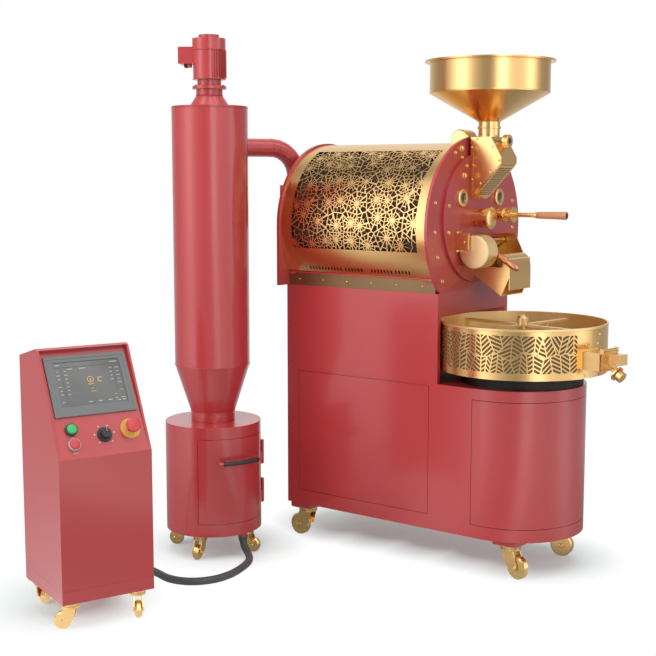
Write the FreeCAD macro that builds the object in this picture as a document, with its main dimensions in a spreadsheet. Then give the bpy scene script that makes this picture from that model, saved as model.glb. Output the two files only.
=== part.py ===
import FreeCAD, Part
import math
import os
import re
import Sketcher

# Gas coffee roaster: drum roaster with cooling tray, chaff cyclone and control console.
# Millimetres, +Z up, floor at Z = 0. The roaster's drum runs along X with its face
# towards +X, and the operator's side is -Y. Three units stand on castors: the roaster,
# placed by its cooling tray's axis, the cyclone, placed by its own axis, and the console,
# placed by its front left foot corner and turned about Z.

SIZES = {
    # Places of the three units on the floor
    "roaster_x": 339.1,
    "roaster_y": 519.0,
    "cyclone_back": 899.0,
    "cyclone_side": 482.0,
    "console_back": 686.0,
    "console_side": 1330.0,
    "console_turn": 70.0,
    # Sheet metal, fits and overruns that all units share
    "sheet_wall": 3.0,
    "seat_gap": 0.3,
    "run_gap": 0.05,
    "panel_gap": 1.5,
    "cut_over": 6.0,
    # Lower cabinet with a round nose
    "cab_width": 446.0,
    "cab_rear": 787.0,
    "nose_back": 20.0,
    "cab_low": 126.0,
    "deck_top": 600.0,
    "panel_rear": 736.0,
    "panel_front": 212.0,
    "panel_low": 176.0,
    "panel_top": 592.0,
    "stop_width": 12.0,
    "door_edge": 52.0,
    "door_low": 168.0,
    "door_top": 564.0,
    "block_side": 84.0,
    "block_drop": 18.0,
    # Hinges of the doors
    "knuckle_radius": 5.0,
    "hinge_pin_radius": 3.0,
    "knuckle_length": 40.0,
    "leaf_length": 14.0,
    "leaf_thick": 3.0,
    "leaf_sink": 1.5,
    "hinge_inset": 34.0,
    # Burner cabinet over the rear of the deck, hollowed in front for the tray
    "burner_front": 180.0,
    "burner_top": 886.0,
    "recess_top": 812.0,
    "recess_gap": 8.0,
    "fire_margin": 44.0,
    # Gas burner
    "bar_radius": 12.0,
    "bar_pitch": 84.0,
    "bar_rear": 730.0,
    "bar_front": 300.0,
    "bar_height": 800.0,
    "manifold_radius": 14.0,
    "gas_pipe_radius": 10.65,
    "gas_pipe_height": 700.0,
    "gas_pipe_stub": 60.0,
    "gas_pipe_side": 120.0,
    "gas_nut_radius": 19.0,
    "gas_nut_thick": 8.0,
    "valve_side": 44.0,
    "carrier_width": 20.0,
    "carrier_thick": 3.0,
    # Drum housing
    "arch_height": 1088.0,
    "plate_thick": 10.0,
    "plate_radius": 292.0,
    "rear_radius": 278.0,
    "cover_radius": 272.0,
    "cover_wall": 2.5,
    "rail_top": 928.0,
    "rail_thick": 3.0,
    "boss_radius": 207.0,
    "boss_thick": 8.0,
    "cap_radius": 33.0,
    "cap_length": 62.0,
    "cap_back": 36.0,
    "cap_rise": 9.0,
    # Drum
    "drum_height": 1118.0,
    "drum_radius": 180.0,
    "drum_wall": 4.0,
    "drum_end_gap": 6.0,
    "shaft_radius": 15.0,
    "hub_radius": 30.0,
    "hub_length": 36.0,
    "spider_back": 270.0,
    "spoke_width": 24.0,
    "spoke_thick": 8.0,
    "vane_height": 38.0,
    "vane_thick": 4.0,
    # Gearmotor behind the rear plate
    "motor_flange_radius": 62.0,
    "motor_flange_thick": 8.0,
    "gear_case_side": 104.0,
    "gear_case_depth": 74.0,
    "drive_motor_radius": 48.0,
    "drive_motor_length": 78.0,
    "shaft_grip": 34.0,
    # Fittings on the face
    "bearing_radius": 30.0,
    "bearing_length": 42.0,
    "bearing_cap_radius": 35.0,
    "bearing_cap_thick": 10.0,
    "sight_height": 1184.0,
    "sight_left": 101.0,
    "sight_right": 133.0,
    "sight_radius": 29.0,
    "sight_bore": 18.0,
    "sight_proud": 9.0,
    "sight_spigot": 12.0,
    "trier_side": 75.0,
    "trier_height": 1128.0,
    "trier_radius": 11.0,
    "trier_wall": 1.5,
    "trier_reach": 150.0,
    "guide_radius": 17.0,
    "guide_length": 86.0,
    "guide_flange_radius": 25.0,
    "guide_flange_thick": 8.0,
    "trier_collar_thick": 7.0,
    "trier_rod_radius": 7.5,
    "trier_rod_length": 76.0,
    "grip_radius": 13.0,
    "grip_end_radius": 11.0,
    "grip_length": 112.0,
    "grip_bore_depth": 30.0,
    "grip_tang_radius": 5.0,
    # Hopper on its neck
    "hopper_back": 134.0,
    "rim_top": 1616.0,
    "rim_radius": 207.0,
    "rim_thick": 5.0,
    "hopper_radius": 191.0,
    "hopper_low": 1514.0,
    "cone_low": 1424.0,
    "neck_radius": 34.0,
    "hopper_wall": 2.5,
    # Feed chute, and the slide gate in its head
    "chute_half": 50.0,
    "chute_top": 1376.0,
    "chute_front": 98.0,
    "lip_front": 60.0,
    "lip_top": 1312.0,
    "lip_low": 1293.0,
    "chute_low": 1180.0,
    "chute_wall": 3.0,
    "inlet_low": 1196.0,
    "inlet_top": 1290.0,
    "gate_height": 1361.0,
    "gate_thick": 3.0,
    "gate_play": 0.6,
    "gate_half": 44.0,
    "gate_ledge": 8.0,
    "gate_rod_radius": 4.0,
    "gate_rod_length": 22.0,
    "gate_knob_radius": 21.0,
    "gate_knob_thick": 9.0,
    "gate_face_radius": 15.0,
    "gate_face_thick": 9.0,
    # Discharge mouth, its scoop and its weighted door
    "scoop_left": 20.0,
    "scoop_right": 120.0,
    "scoop_low": 870.0,
    "scoop_front": 69.0,
    "scoop_heel": 936.0,
    "cheek_top": 962.0,
    "hood_top": 1066.0,
    "hood_shoulder": 97.0,
    "hood_brow": 66.0,
    "hood_brow_height": 1001.0,
    "hood_front": 42.0,
    "hood_low": 930.0,
    "hood_crown": 988.0,
    "mouth_low": 945.0,
    "mouth_top": 1030.0,
    "mouth_margin": 14.0,
    "pivot_front": 142.0,
    "pivot_height": 1045.0,
    "pivot_radius": 6.0,
    "pivot_left": 132.0,
    "pivot_right": 130.0,
    "bracket_thick": 12.0,
    "bracket_half": 13.0,
    "bracket_low": 1020.0,
    "bracket_top": 1074.0,
    "door_thick": 5.0,
    "door_lap": 6.0,
    "door_drop": 4.0,
    "lug_thick": 9.0,
    "lug_radius": 11.0,
    "weight_front": 115.0,
    "weight_height": 1015.0,
    "weight_radius": 53.0,
    "weight_near": 116.0,
    "weight_far": 58.0,
    "lever_near": 50.0,
    "lever_thick": 8.0,
    "lever_half": 9.0,
    "lever_length": 48.0,
    "lever_fall": 30.0,
    "handle_radius": 10.0,
    "handle_length": 92.0,
    "handle_rod_radius": 5.0,
    "handle_rod_length": 30.0,
    # Cooling tray and its plenum
    "tray_radius": 265.0,
    "tray_wall": 2.5,
    "tray_top": 797.0,
    "tray_low": 642.0,
    "tray_bead": 3.0,
    "tray_bead_height": 7.0,
    "floor_height": 668.0,
    "floor_thick": 3.0,
    "floor_ledge": 10.0,
    "floor_hole_radius": 4.0,
    "plenum_radius": 195.0,
    "plenum_wall": 3.0,
    "plenum_flange": 12.0,
    "gearbox_radius": 48.0,
    "gearbox_rib": 8.0,
    "spindle_radius": 10.0,
    "stir_hub_radius": 18.0,
    "stir_top": 812.0,
    "arm_height": 776.0,
    "arm_thick": 8.0,
    "arm_width": 14.0,
    "arm_reach": 236.0,
    "arm_turn": 10.0,
    "blade_low_gap": 4.0,
    "blade_height": 26.0,
    "blade_length": 110.0,
    # Outlet of the tray and its gate
    "outlet_turn": 10.0,
    "outlet_half": 40.0,
    "outlet_low": 674.0,
    "outlet_top": 724.0,
    "outlet_end": 328.0,
    "gate_barrel_radius": 5.0,
    "flap_thick": 4.0,
    "flap_block_reach": 379.0,
    "flap_block_low": 692.0,
    "flap_block_half": 20.0,
    "flap_rod_radius": 5.0,
    "flap_rod_length": 44.0,
    "flap_rod_fall": 30.0,
    "flap_disc_radius": 23.0,
    "flap_disc_thick": 5.0,
    "flap_knob_radius": 17.0,
    "flap_knob_thick": 16.0,
    # Exhaust duct from the rear plate to the cyclone
    "duct_radius": 31.0,
    "duct_wall": 2.0,
    "duct_height": 1349.0,
    "duct_bend": 96.0,
    "duct_leg_back": 829.0,
    "duct_leg_side": 121.0,
    "smoke_box_half": 44.0,
    "smoke_box_depth": 78.0,
    "smoke_box_low": 1100.0,
    "smoke_box_top": 1222.0,
    "smoke_hole_radius": 30.0,
    "stub_length": 150.0,
    "stub_flange": 10.0,
    "stub_flange_thick": 5.0,
    # Cyclone
    "body_radius": 124.0,
    "body_wall": 2.0,
    "body_top": 1473.0,
    "body_seam": 632.0,
    "collar_top": 474.0,
    "collar_radius": 73.0,
    "flue_radius": 40.0,
    "flue_height": 1426.0,
    "flue_length": 60.0,
    "flue_turn": 63.0,
    "flue_ring_rim": 6.0,
    "flue_ring_reach": 10.0,
    "lid_thick": 4.0,
    "frustum_radius": 66.0,
    "frustum_top": 1512.0,
    "frustum_neck": 43.0,
    "lid_flange_low": 1532.0,
    "lid_flange_top": 1542.0,
    "lid_flange_radius": 55.0,
    "lid_bore": 30.0,
    "motor_neck_radius": 39.0,
    "motor_low": 1562.0,
    "motor_top": 1693.0,
    "motor_radius": 52.0,
    "cowl_low": 1656.0,
    "cowl_radius": 54.0,
    "motor_cap_top": 1705.0,
    "motor_cap_radius": 33.0,
    "terminal_turn": 212.0,
    "terminal_reach": 95.0,
    "terminal_half": 30.0,
    "terminal_low": 1612.0,
    "terminal_top": 1666.0,
    "fan_shaft_radius": 9.0,
    "fan_shaft_low": 1402.0,
    "fan_shaft_top": 1600.0,
    "fan_radius": 98.0,
    "fan_disc_height": 1448.0,
    "fan_disc_thick": 4.0,
    "fan_blade_height": 40.0,
    "fan_blade_thick": 3.0,
    "fan_hub_radius": 22.0,
    # Chaff box under the cyclone
    "base_radius": 159.0,
    "base_low": 81.0,
    "base_top": 443.0,
    "base_door_turn": 43.4,
    "base_door_span": 110.0,
    "base_door_low": 124.0,
    "base_door_top": 404.0,
    "door_stop": 10.0,
    "bow_height": 332.0,
    "bow_start": 85.0,
    "bow_span": 46.0,
    "bow_reach": 34.0,
    "bow_radius": 5.0,
    "gland_radius": 15.0,
    "gland_length": 12.0,
    "gland_gap": 0.2,
    "gland_x": 92.0,
    "gland_y": 101.0,
    # Console
    "desk_width": 274.0,
    "desk_depth": 296.0,
    "desk_low": 81.0,
    "plinth_top": 119.0,
    "fold_height": 487.0,
    "brow_depth": 150.0,
    "brow_height": 770.0,
    "crest_depth": 165.0,
    "crest_height": 774.0,
    "desk_back_top": 742.0,
    "recess_depth": 163.0,
    "recess_height": 763.0,
    "cheek_wall": 6.0,
    "face_tilt": 59.43,
    "screen_left": 16.0,
    "screen_width": 243.0,
    "screen_low": 122.0,
    "screen_length": 181.0,
    "screen_proud": 5.0,
    "screen_edge": 9.0,
    "screen_glass_drop": 1.0,
    "button_left": 53.0,
    "start_up": 84.0,
    "stop_up": 40.0,
    "button_radius": 14.0,
    "button_height": 8.0,
    "button_lift": 4.5,
    "stem_radius": 5.0,
    "stem_length": 16.0,
    "knob_left": 146.0,
    "knob_up": 60.0,
    "knob_skirt_radius": 20.0,
    "knob_skirt_height": 5.0,
    "knob_radius": 15.0,
    "knob_height": 15.0,
    "knob_pointer": 3.0,
    "estop_left": 226.0,
    "estop_up": 70.0,
    "estop_radius": 21.0,
    "estop_height": 12.0,
    "estop_lift": 20.0,
    "estop_stem_radius": 9.0,
    "desk_gland_height": 150.0,
    # Castors: large ones under the roaster, small ones under the other units
    "large_height": 108.0,
    "large_wheel": 37.5,
    "large_width": 26.0,
    "large_trail": 32.0,
    "large_plate": 80.0,
    "large_axle": 5.0,
    "small_height": 81.0,
    "small_wheel": 25.0,
    "small_width": 20.0,
    "small_trail": 22.0,
    "small_plate": 58.0,
    "small_axle": 4.0,
    "castor_plate": 3.0,
    "race_drop": 9.0,
    "fork_thick": 3.0,
    "wheel_side_gap": 1.2,
    "tread_round": 5.0,
    "kingpin_radius": 6.0,
    "front_castor": 50.0,
    "front_castor_half": 146.0,
    "rear_castor": 737.0,
    "rear_castor_half": 173.0,
    "near_front_turn": -15.0,
    "far_front_turn": 10.0,
    "near_rear_turn": 180.0,
    "far_rear_turn": 150.0,
    "ring_castor_radius": 118.0,
    "ring_castor_turn": -70.9,
    "desk_castor_inset": 36.0,
    "desk_near_turn": 215.0,
    "desk_right_turn": 320.0,
    "desk_far_turn": 40.0,
    "desk_left_turn": 120.0,
    # Conduit hose on the floor
    "hose_radius": 12.0,
}

doc = FreeCAD.newDocument("GasCoffeeRoaster")
sheet = doc.addObject("Spreadsheet::Sheet", "Sizes")
for row, (word, size) in enumerate(SIZES.items(), start=1):
    sheet.set(f"A{row}", word)
    sheet.set(f"B{row}", str(size))
    sheet.setAlias(f"B{row}", word)
doc.recompute()

Vector = FreeCAD.Vector
UP = FreeCAD.Rotation()
ALONG_X = FreeCAD.Rotation(Vector(0, 1, 0), 90)
ALONG_Y = FreeCAD.Rotation(Vector(1, 0, 0), -90)
ABOUT_Z = FreeCAD.Rotation(Vector(0, 0, 1), 1)
ABOUT_X = FreeCAD.Rotation(Vector(1, 0, 0), 1)
ABOUT_Y = FreeCAD.Rotation(Vector(0, 1, 0), 1)
nodes = []


def in_sheet(formula):
    """Point each sheet word of a formula at the sheet."""
    return re.sub(r"\b[a-z]+_\w+\b", lambda word: "Sizes." + word.group(0), formula)


def amount(formula):
    """The present value of a formula as a plain number."""
    result = sheet.evalExpression(in_sheet(formula))
    return float(getattr(result, "Value", result))


def bind(obj, prop, formula):
    obj.setExpression(prop, in_sheet(formula))


def place(obj, at, rotation=UP, angle=None):
    """Put an object at formulas (x, y, z), turned by a rotation whose angle may be bound."""
    obj.Placement = FreeCAD.Placement(Vector(), rotation)
    for axis, formula in zip("xyz", at):
        if formula != "0":
            bind(obj, f"Placement.Base.{axis}", formula)
    if angle:
        bind(obj, "Placement.Rotation.Angle", angle)
    return obj


def box(name, size, at=("0", "0", "0")):
    obj = doc.addObject("Part::Box", name)
    for prop, formula in zip(("Length", "Width", "Height"), size):
        bind(obj, prop, formula)
    return place(obj, at)


def cylinder(name, radius, height, at=("0", "0", "0"), rotation=UP, sweep=None):
    obj = doc.addObject("Part::Cylinder", name)
    bind(obj, "Radius", radius)
    bind(obj, "Height", height)
    if sweep:
        bind(obj, "Angle", sweep)
    return place(obj, at, rotation)


def torus(name, bend, radius, sweep, at, rotation):
    obj = doc.addObject("Part::Torus", name)
    bind(obj, "Radius1", bend)
    bind(obj, "Radius2", radius)
    bind(obj, "Angle3", sweep)
    return place(obj, at, rotation)


def joined(name, pieces):
    obj = doc.addObject("Part::MultiFuse", name)
    obj.Shapes = pieces
    return obj


def shared(name, pieces):
    obj = doc.addObject("Part::MultiCommon", name)
    obj.Shapes = pieces
    return obj


def cut(name, base, tools):
    obj = doc.addObject("Part::Cut", name)
    obj.Base = base
    obj.Tool = tools[0] if len(tools) == 1 else joined(name + "_tools", tools)
    return obj


def group(name, pieces):
    obj = doc.addObject("Part::Compound", name)
    obj.Links = pieces
    return obj


def united(name, pieces):
    """One solid of pieces that overlap, or a holder for a single piece."""
    return joined(name, pieces) if len(pieces) > 1 else group(name, pieces)


def turned_about_z(name, piece, angle, at=("0", "0", "0")):
    """A piece turned about Z by a bound angle, then moved."""
    return place(group(name, [piece]), at, ABOUT_Z, angle)


def outline(body, name, plane_role, corners):
    """A closed sketch whose corners are bound to formulas."""
    plane = [item for item in body.Origin.OriginFeatures if item.Role == plane_role][0]
    sketch = body.newObject("Sketcher::SketchObject", name)
    sketch.AttachmentSupport = [(plane, "")]
    sketch.MapMode = "FlatFace"
    points = [Vector(amount(across), amount(along), 0) for across, along in corners]
    for start, end in zip(points, points[1:] + points[:1]):
        sketch.addGeometry(Part.LineSegment(start, end), False)
    for side in range(len(points)):
        following = (side + 1) % len(points)
        sketch.addConstraint(Sketcher.Constraint("Coincident", side, 2, following, 1))
    for side, (point, formulas) in enumerate(zip(points, corners)):
        kinds = ("DistanceX", "DistanceY")
        for kind, now, formula in zip(kinds, (point.x, point.y), formulas):
            number = sketch.addConstraint(Sketcher.Constraint(kind, -1, 1, side, 1, now))
            bind(sketch, f"Constraints[{number}]", formula)
    return sketch


def prism(name, plane_role, corners, length, at=("0", "0", "0")):
    """A padded outline that runs towards + along the plane's axis."""
    body = doc.addObject("PartDesign::Body", name)
    sketch = outline(body, name + "_outline", plane_role, corners)
    pad = body.newObject("PartDesign::Pad", name + "_pad")
    pad.Profile = sketch
    pad.Reversed = plane_role == "XZ_Plane"
    bind(pad, "Length", length)
    return place(body, at)


def turned(name, corners, at=("0", "0", "0"), rotation=UP):
    """A piece turned on a lathe: corners are (radius, height)."""
    body = doc.addObject("PartDesign::Body", name)
    sketch = outline(body, name + "_outline", "XZ_Plane", corners)
    spin = body.newObject("PartDesign::Revolution", name + "_turn")
    spin.Profile = sketch
    spin.ReferenceAxis = (sketch, ["V_Axis"])
    spin.Angle = 360
    return place(body, at, rotation)


def roaster(label, obj, at=("0", "0", "0"), rotation=UP):
    """Name a sub-part and set it in the roaster, whose place is its tray's axis."""
    return finish(label, obj, "roaster_x + ({0})", "roaster_y + ({0})", at, rotation)


def cyclone(label, obj, at=("0", "0", "0"), rotation=UP, angle=None):
    """Name a sub-part and set it in the cyclone, whose place is its own axis."""
    return finish(label, obj, "roaster_x - cyclone_back + ({0})",
                  "roaster_y - cyclone_side + ({0})", at, rotation, angle)


def console(label, obj):
    """Name a sub-part and set it in the console, turned about its near corner."""
    return finish(label, obj, "roaster_x - console_back + ({0})",
                  "roaster_y - console_side + ({0})", ("0", "0", "0"), ABOUT_Z, "console_turn")


def finish(label, obj, x_form, y_form, at, rotation, angle=None):
    at = (x_form.format(at[0]), y_form.format(at[1]), at[2])
    place(obj, at, rotation, angle)
    obj.Label = label
    nodes.append(obj)
    return obj


# Lower cabinet: a bent sheet shell with a half-round nose, a deck on top,
# openings for two side panels and the curved front door, and blocks for the castors
HALF = "cab_width / 2"


def round_nosed(name, inset, low, high):
    """A block with a half-round nose, inset all round from the cabinet's outline."""
    height = f"{high} - ({low})"
    length = f"cab_rear - nose_back - ({inset})"
    block = box(name + "_block", (length, f"cab_width - 2 * ({inset})", height),
                (f"-cab_rear + ({inset})", f"-{HALF} + ({inset})", low))
    nose = cylinder(name + "_nose", f"{HALF} - ({inset})", height, ("-nose_back", "0", low))
    return joined(name, [block, nose])


def knuckle(name, low, side):
    """One hinge barrel with its leaf, for the door (side 1) or the cabinet (side -1)."""
    barrel = cylinder(name + "_barrel", "knuckle_radius", "knuckle_length", ("0", "0", low))
    leaf_at = "0" if side > 0 else "-leaf_length"
    leaf = box(name + "_leaf", ("leaf_length", "leaf_thick + leaf_sink", "knuckle_length"),
               (leaf_at, "-knuckle_radius - seat_gap - leaf_sink", low))
    return joined(name, [barrel, leaf])


def hinge_heights(low, high):
    """Heights of the two door barrels of a hinge: near the door's foot and its head."""
    return f"{low} + hinge_inset", f"{high} - hinge_inset - 2 * knuckle_length"


def door_knuckles(name, low, high):
    """The door's barrels, bored for the pins with a running clearance."""
    barrels = []
    for number, height in enumerate(hinge_heights(low, high)):
        barrel = knuckle(f"{name}_{number}", height, 1)
        bore = cylinder(f"{name}_bore_{number}", "hinge_pin_radius + run_gap",
                        "knuckle_length + 2 * cut_over", ("0", "0", f"{height} - cut_over"))
        barrels.append(cut(f"{name}_bored_{number}", barrel, [bore]))
    return barrels


def cabinet_knuckles(name, low, high):
    """The fixed barrels, each above a door barrel, with the pin that hangs from it."""
    barrels = []
    for number, height in enumerate(hinge_heights(low, high)):
        barrel = knuckle(f"{name}_{number}", f"{height} + knuckle_length + seat_gap", -1)
        pin = cylinder(f"{name}_pin_{number}", "hinge_pin_radius", "knuckle_length + leaf_thick",
                       ("0", "0", f"{height} - leaf_thick + seat_gap"))
        barrels.append(joined(f"{name}_fixed_{number}", [barrel, pin]))
    return barrels


NOSE_HINGE = ("-door_edge - panel_gap / 2", f"{HALF} + knuckle_radius + seat_gap", "0")
SIDE_LENGTH = "panel_rear - panel_front"
SIDE_HEIGHT = "panel_top - panel_low"


def side_openings(name, margin, depth, inner):
    """Boxes through both side walls, the panel's size plus a margin."""
    size = (f"{SIDE_LENGTH} + 2 * ({margin})", depth, f"{SIDE_HEIGHT} + 2 * ({margin})")
    x_at = f"-panel_rear - ({margin})"
    z_at = f"panel_low - ({margin})"
    near = box(name + "_near", size, (x_at, f"-({inner}) - ({depth})", z_at))
    far = box(name + "_far", size, (x_at, inner, z_at))
    return [near, far]


def make_base_cabinet():
    shell = cut("cab_shell", round_nosed("cab_outer", "0", "cab_low", "deck_top"),
                [round_nosed("cab_inner", "sheet_wall", "cab_low + sheet_wall",
                             "deck_top - sheet_wall")])
    side_cuts = side_openings("side_cut", "panel_gap", "sheet_wall + cut_over",
                              f"{HALF} - sheet_wall")
    door_cut = box("door_cut", ("cab_width", "cab_width + 2 * cut_over",
                                "door_top - door_low + 2 * panel_gap"),
                   ("-door_edge - panel_gap", f"-{HALF} - cut_over", "door_low - panel_gap"))
    opened = cut("cab_opened", shell, side_cuts + [door_cut])
    stops = []
    frames = side_openings("side_stop", "stop_width / 2", "sheet_wall",
                           f"{HALF} - 2 * sheet_wall - seat_gap")
    for number, frame in enumerate(frames):
        window = side_openings(f"side_window_{number}", "-stop_width / 2",
                               "sheet_wall + 2 * cut_over",
                               f"{HALF} - 2 * sheet_wall - cut_over")[number]
        stops.append(cut(f"side_frame_{number}", frame, [window]))
    for number, height in enumerate(("door_low", "door_top")):
        low = f"{height} - stop_width"
        ring = cut(f"nose_ring_{number}",
                   round_nosed(f"nose_ring_out_{number}", "sheet_wall", low,
                               f"{height} + stop_width"),
                   [round_nosed(f"nose_ring_in_{number}", "2 * sheet_wall",
                                f"{low} - cut_over", f"{height} + stop_width + cut_over")])
        forward = box(f"nose_ring_keep_{number}", ("cab_width", f"{HALF} * 1.5",
                                                    "4 * stop_width"),
                      ("-door_edge - stop_width", f"-{HALF} / 2", f"{low} - stop_width"))
        kept = shared(f"nose_stop_{number}", [ring, forward])
        edge_gap = cut(f"nose_gap_{number}",
                       round_nosed(f"nose_gap_out_{number}", "0", "door_low - panel_gap",
                                   "door_top + panel_gap"),
                       [round_nosed(f"nose_gap_in_{number}", "sheet_wall + seat_gap",
                                    "door_low - cut_over", "door_top + cut_over")])
        stops.append(cut(f"nose_stop_cut_{number}", kept, [edge_gap]))
    latch_stop = box("nose_latch_stop", ("1.5 * stop_width", "sheet_wall",
                                         "door_top - door_low - 2 * stop_width"),
                     ("-door_edge - stop_width", f"-{HALF} + sheet_wall + seat_gap",
                      "door_low + stop_width"))
    latch_tie = box("nose_latch_tie", ("stop_width / 2", "2 * seat_gap",
                                       "door_top - door_low - 2 * stop_width"),
                    ("-door_edge - stop_width", f"-{HALF} + sheet_wall - seat_gap / 2",
                     "door_low + stop_width"))
    stops += [latch_stop, latch_tie]
    fixed = group("cab_knuckles", cabinet_knuckles("nose_hinge", "door_low", "door_top"))
    place(fixed, NOSE_HINGE)
    blocks = []
    for name, x_at, y_at, turn in roaster_castors():
        blocks.append(box(f"{name}_block", ("block_side", "block_side", "block_drop"),
                          (f"{x_at} - block_side / 2", f"{y_at} - block_side / 2",
                           "cab_low - block_drop")))
    return roaster("base_cabinet", joined("base_cabinet", [opened, fixed] + stops + blocks))


def roaster_castors():
    """Name, place and trail direction of the four castors under the lower cabinet."""
    return (
        ("near_front", "front_castor", "-front_castor_half", "near_front_turn"),
        ("far_front", "front_castor", "front_castor_half", "far_front_turn"),
        ("near_rear", "-rear_castor", "-rear_castor_half", "near_rear_turn"),
        ("far_rear", "-rear_castor", "rear_castor_half", "far_rear_turn"),
    )


def make_side_panels():
    panels = side_openings("side_panel", "0", "sheet_wall", f"{HALF} - sheet_wall")
    return roaster("side_panels", group("side_panels", panels))


def make_front_door():
    ring = cut("nose_door_ring", round_nosed("nose_door_out", "0", "door_low", "door_top"),
               [round_nosed("nose_door_in", "sheet_wall", "door_low - cut_over",
                            "door_top + cut_over")])
    keep = box("nose_door_keep", ("cab_width", "cab_width", "door_top - door_low"),
               ("-door_edge", f"-{HALF}", "door_low"))
    skin = shared("nose_door_skin", [ring, keep])
    barrels = group("nose_door_barrels", door_knuckles("nose_door_hinge", "door_low", "door_top"))
    place(barrels, NOSE_HINGE)
    return roaster("front_door", joined("front_door", [skin, barrels]))


# Burner cabinet: a sheet box on the deck, hollowed in front to clear the cooling tray,
# open below the drum, with the gas burner across it
def make_burner_cabinet():
    size = ("cab_rear - burner_front", "cab_width", "burner_top - deck_top")
    outer = box("burner_outer", size, ("-cab_rear", f"-{HALF}", "deck_top"))
    recess = cylinder("burner_recess", "tray_radius + recess_gap",
                      "recess_top - deck_top + cut_over", ("0", "0", "deck_top - cut_over"))
    inner = box("burner_inner",
                ("cab_rear - burner_front - 2 * sheet_wall", "cab_width - 2 * sheet_wall",
                 "burner_top - deck_top - sheet_wall + cut_over"),
                ("-cab_rear + sheet_wall", f"-{HALF} + sheet_wall", "deck_top - cut_over"))
    recess_skin = cylinder("burner_recess_skin", "tray_radius + recess_gap + sheet_wall",
                           "recess_top - deck_top + sheet_wall + cut_over",
                           ("0", "0", "deck_top - cut_over"))
    room = cut("burner_room", inner, [recess_skin])
    fire_hole = box("fire_hole",
                    ("cab_rear - burner_front - 2 * fire_margin", "cab_width - 2 * fire_margin",
                     "sheet_wall + 2 * cut_over"),
                    ("-cab_rear + fire_margin", f"-{HALF} + fire_margin",
                     "burner_top - sheet_wall - cut_over"))
    pipe_hole = cylinder("gas_pipe_hole", "gas_pipe_radius + seat_gap",
                         "sheet_wall + 2 * cut_over",
                         ("-cab_rear - cut_over", "gas_pipe_side", "gas_pipe_height"), ALONG_X)
    shell = cut("burner_shell", outer, [recess, room, fire_hole, pipe_hole])
    return roaster("burner_cabinet", shell)


def gas_nut_corners():
    """The hexagon of the lock nut that holds the gas pipe against the rear wall."""
    corners = []
    for number in range(6):
        turn = f"{number * 60} deg"
        corners.append((f"gas_pipe_side + gas_nut_radius * cos({turn})",
                        f"gas_pipe_height + gas_nut_radius * sin({turn})"))
    return corners


def make_gas_burner():
    bars = []
    for number, count in enumerate((-1, 0, 1)):
        bars.append(cylinder(f"burner_bar_{number}", "bar_radius", "bar_rear - bar_front",
                             ("-bar_rear", f"{count} * bar_pitch", "bar_height"), ALONG_X))
    manifold = cylinder("burner_manifold", "manifold_radius", "2 * gas_pipe_side",
                        ("-bar_rear", "-gas_pipe_side", "bar_height"), ALONG_Y)
    drop = cylinder("gas_drop", "gas_pipe_radius",
                    "abs(bar_height - gas_pipe_height) + gas_pipe_radius",
                    ("-bar_rear", "gas_pipe_side - gas_pipe_radius",
                     "min(bar_height; gas_pipe_height) - gas_pipe_radius / 2"))
    run = cylinder("gas_run", "gas_pipe_radius", "cab_rear + gas_pipe_stub - bar_rear",
                   ("-cab_rear - gas_pipe_stub", "gas_pipe_side", "gas_pipe_height"), ALONG_X)
    nut = prism("gas_nut", "YZ_Plane", gas_nut_corners(), "gas_nut_thick",
                ("-cab_rear - seat_gap - gas_nut_thick", "0", "0"))
    valve = box("gas_valve", ("valve_side", "valve_side", "valve_side"),
                ("-bar_rear - valve_side / 2", "gas_pipe_side - valve_side / 2",
                 "gas_pipe_height - valve_side / 2"))
    carriers = []
    inner_half = f"({HALF} - sheet_wall - seat_gap)"
    for number, x_at in enumerate(("-bar_rear + carrier_width",
                                   "-bar_front - 2 * carrier_width")):
        carriers.append(box(f"burner_carrier_{number}",
                            ("carrier_width", f"2 * {inner_half}", "carrier_thick"),
                            (x_at, f"-{inner_half}",
                             "bar_height - bar_radius - carrier_thick / 2")))
    pieces = bars + [manifold, drop, run, nut, valve] + carriers
    return roaster("gas_burner", joined("gas_burner", pieces))


# Drum housing: two arched plates with the openwork cover between them on two rails
def arched_plate(name, radius, x_at, thickness):
    """A round plate that stands on the burner cabinet, cut flat at its foot."""
    disc = cylinder(name + "_disc", radius, thickness, (x_at, "0", "arch_height"), ALONG_X)
    foot = box(name + "_foot", ("2 * (%s)" % thickness, f"2 * {radius}", f"{radius}"),
               (f"{x_at} - ({thickness}) / 2", f"-{radius}", f"burner_top - {radius}"))
    return cut(name, disc, [foot])


REAR_FACE = "-cab_rear - seat_gap"
COVER_REAR = "-cab_rear + plate_thick"
COVER_FRONT = "-burner_front - plate_thick"
FACE_BACK = "-burner_front - plate_thick"
FACE_FRONT = "-burner_front"
BOSS_FRONT = "-burner_front + boss_thick"


def make_rear_plate():
    arch = arched_plate("rear_arch", "rear_radius", "-cab_rear", "plate_thick")
    legs = box("rear_legs", ("plate_thick", "2 * rear_radius", "arch_height - burner_top"),
               ("-cab_rear", "-rear_radius", "burner_top"))
    plate = joined("rear_arch_on_legs", [arch, legs])
    shaft_hole = cylinder("rear_shaft_hole", "shaft_radius + cut_over",
                          "plate_thick + 2 * cut_over",
                          ("-cab_rear - cut_over", "0", "drum_height"), ALONG_X)
    smoke_hole = cylinder("rear_smoke_hole", "smoke_hole_radius", "plate_thick + 2 * cut_over",
                          ("-cab_rear - cut_over", "-duct_leg_side",
                           "(smoke_box_low + smoke_box_top) / 2"), ALONG_X)
    return roaster("rear_plate", cut("rear_plate", plate, [shaft_hole, smoke_hole]))


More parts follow.
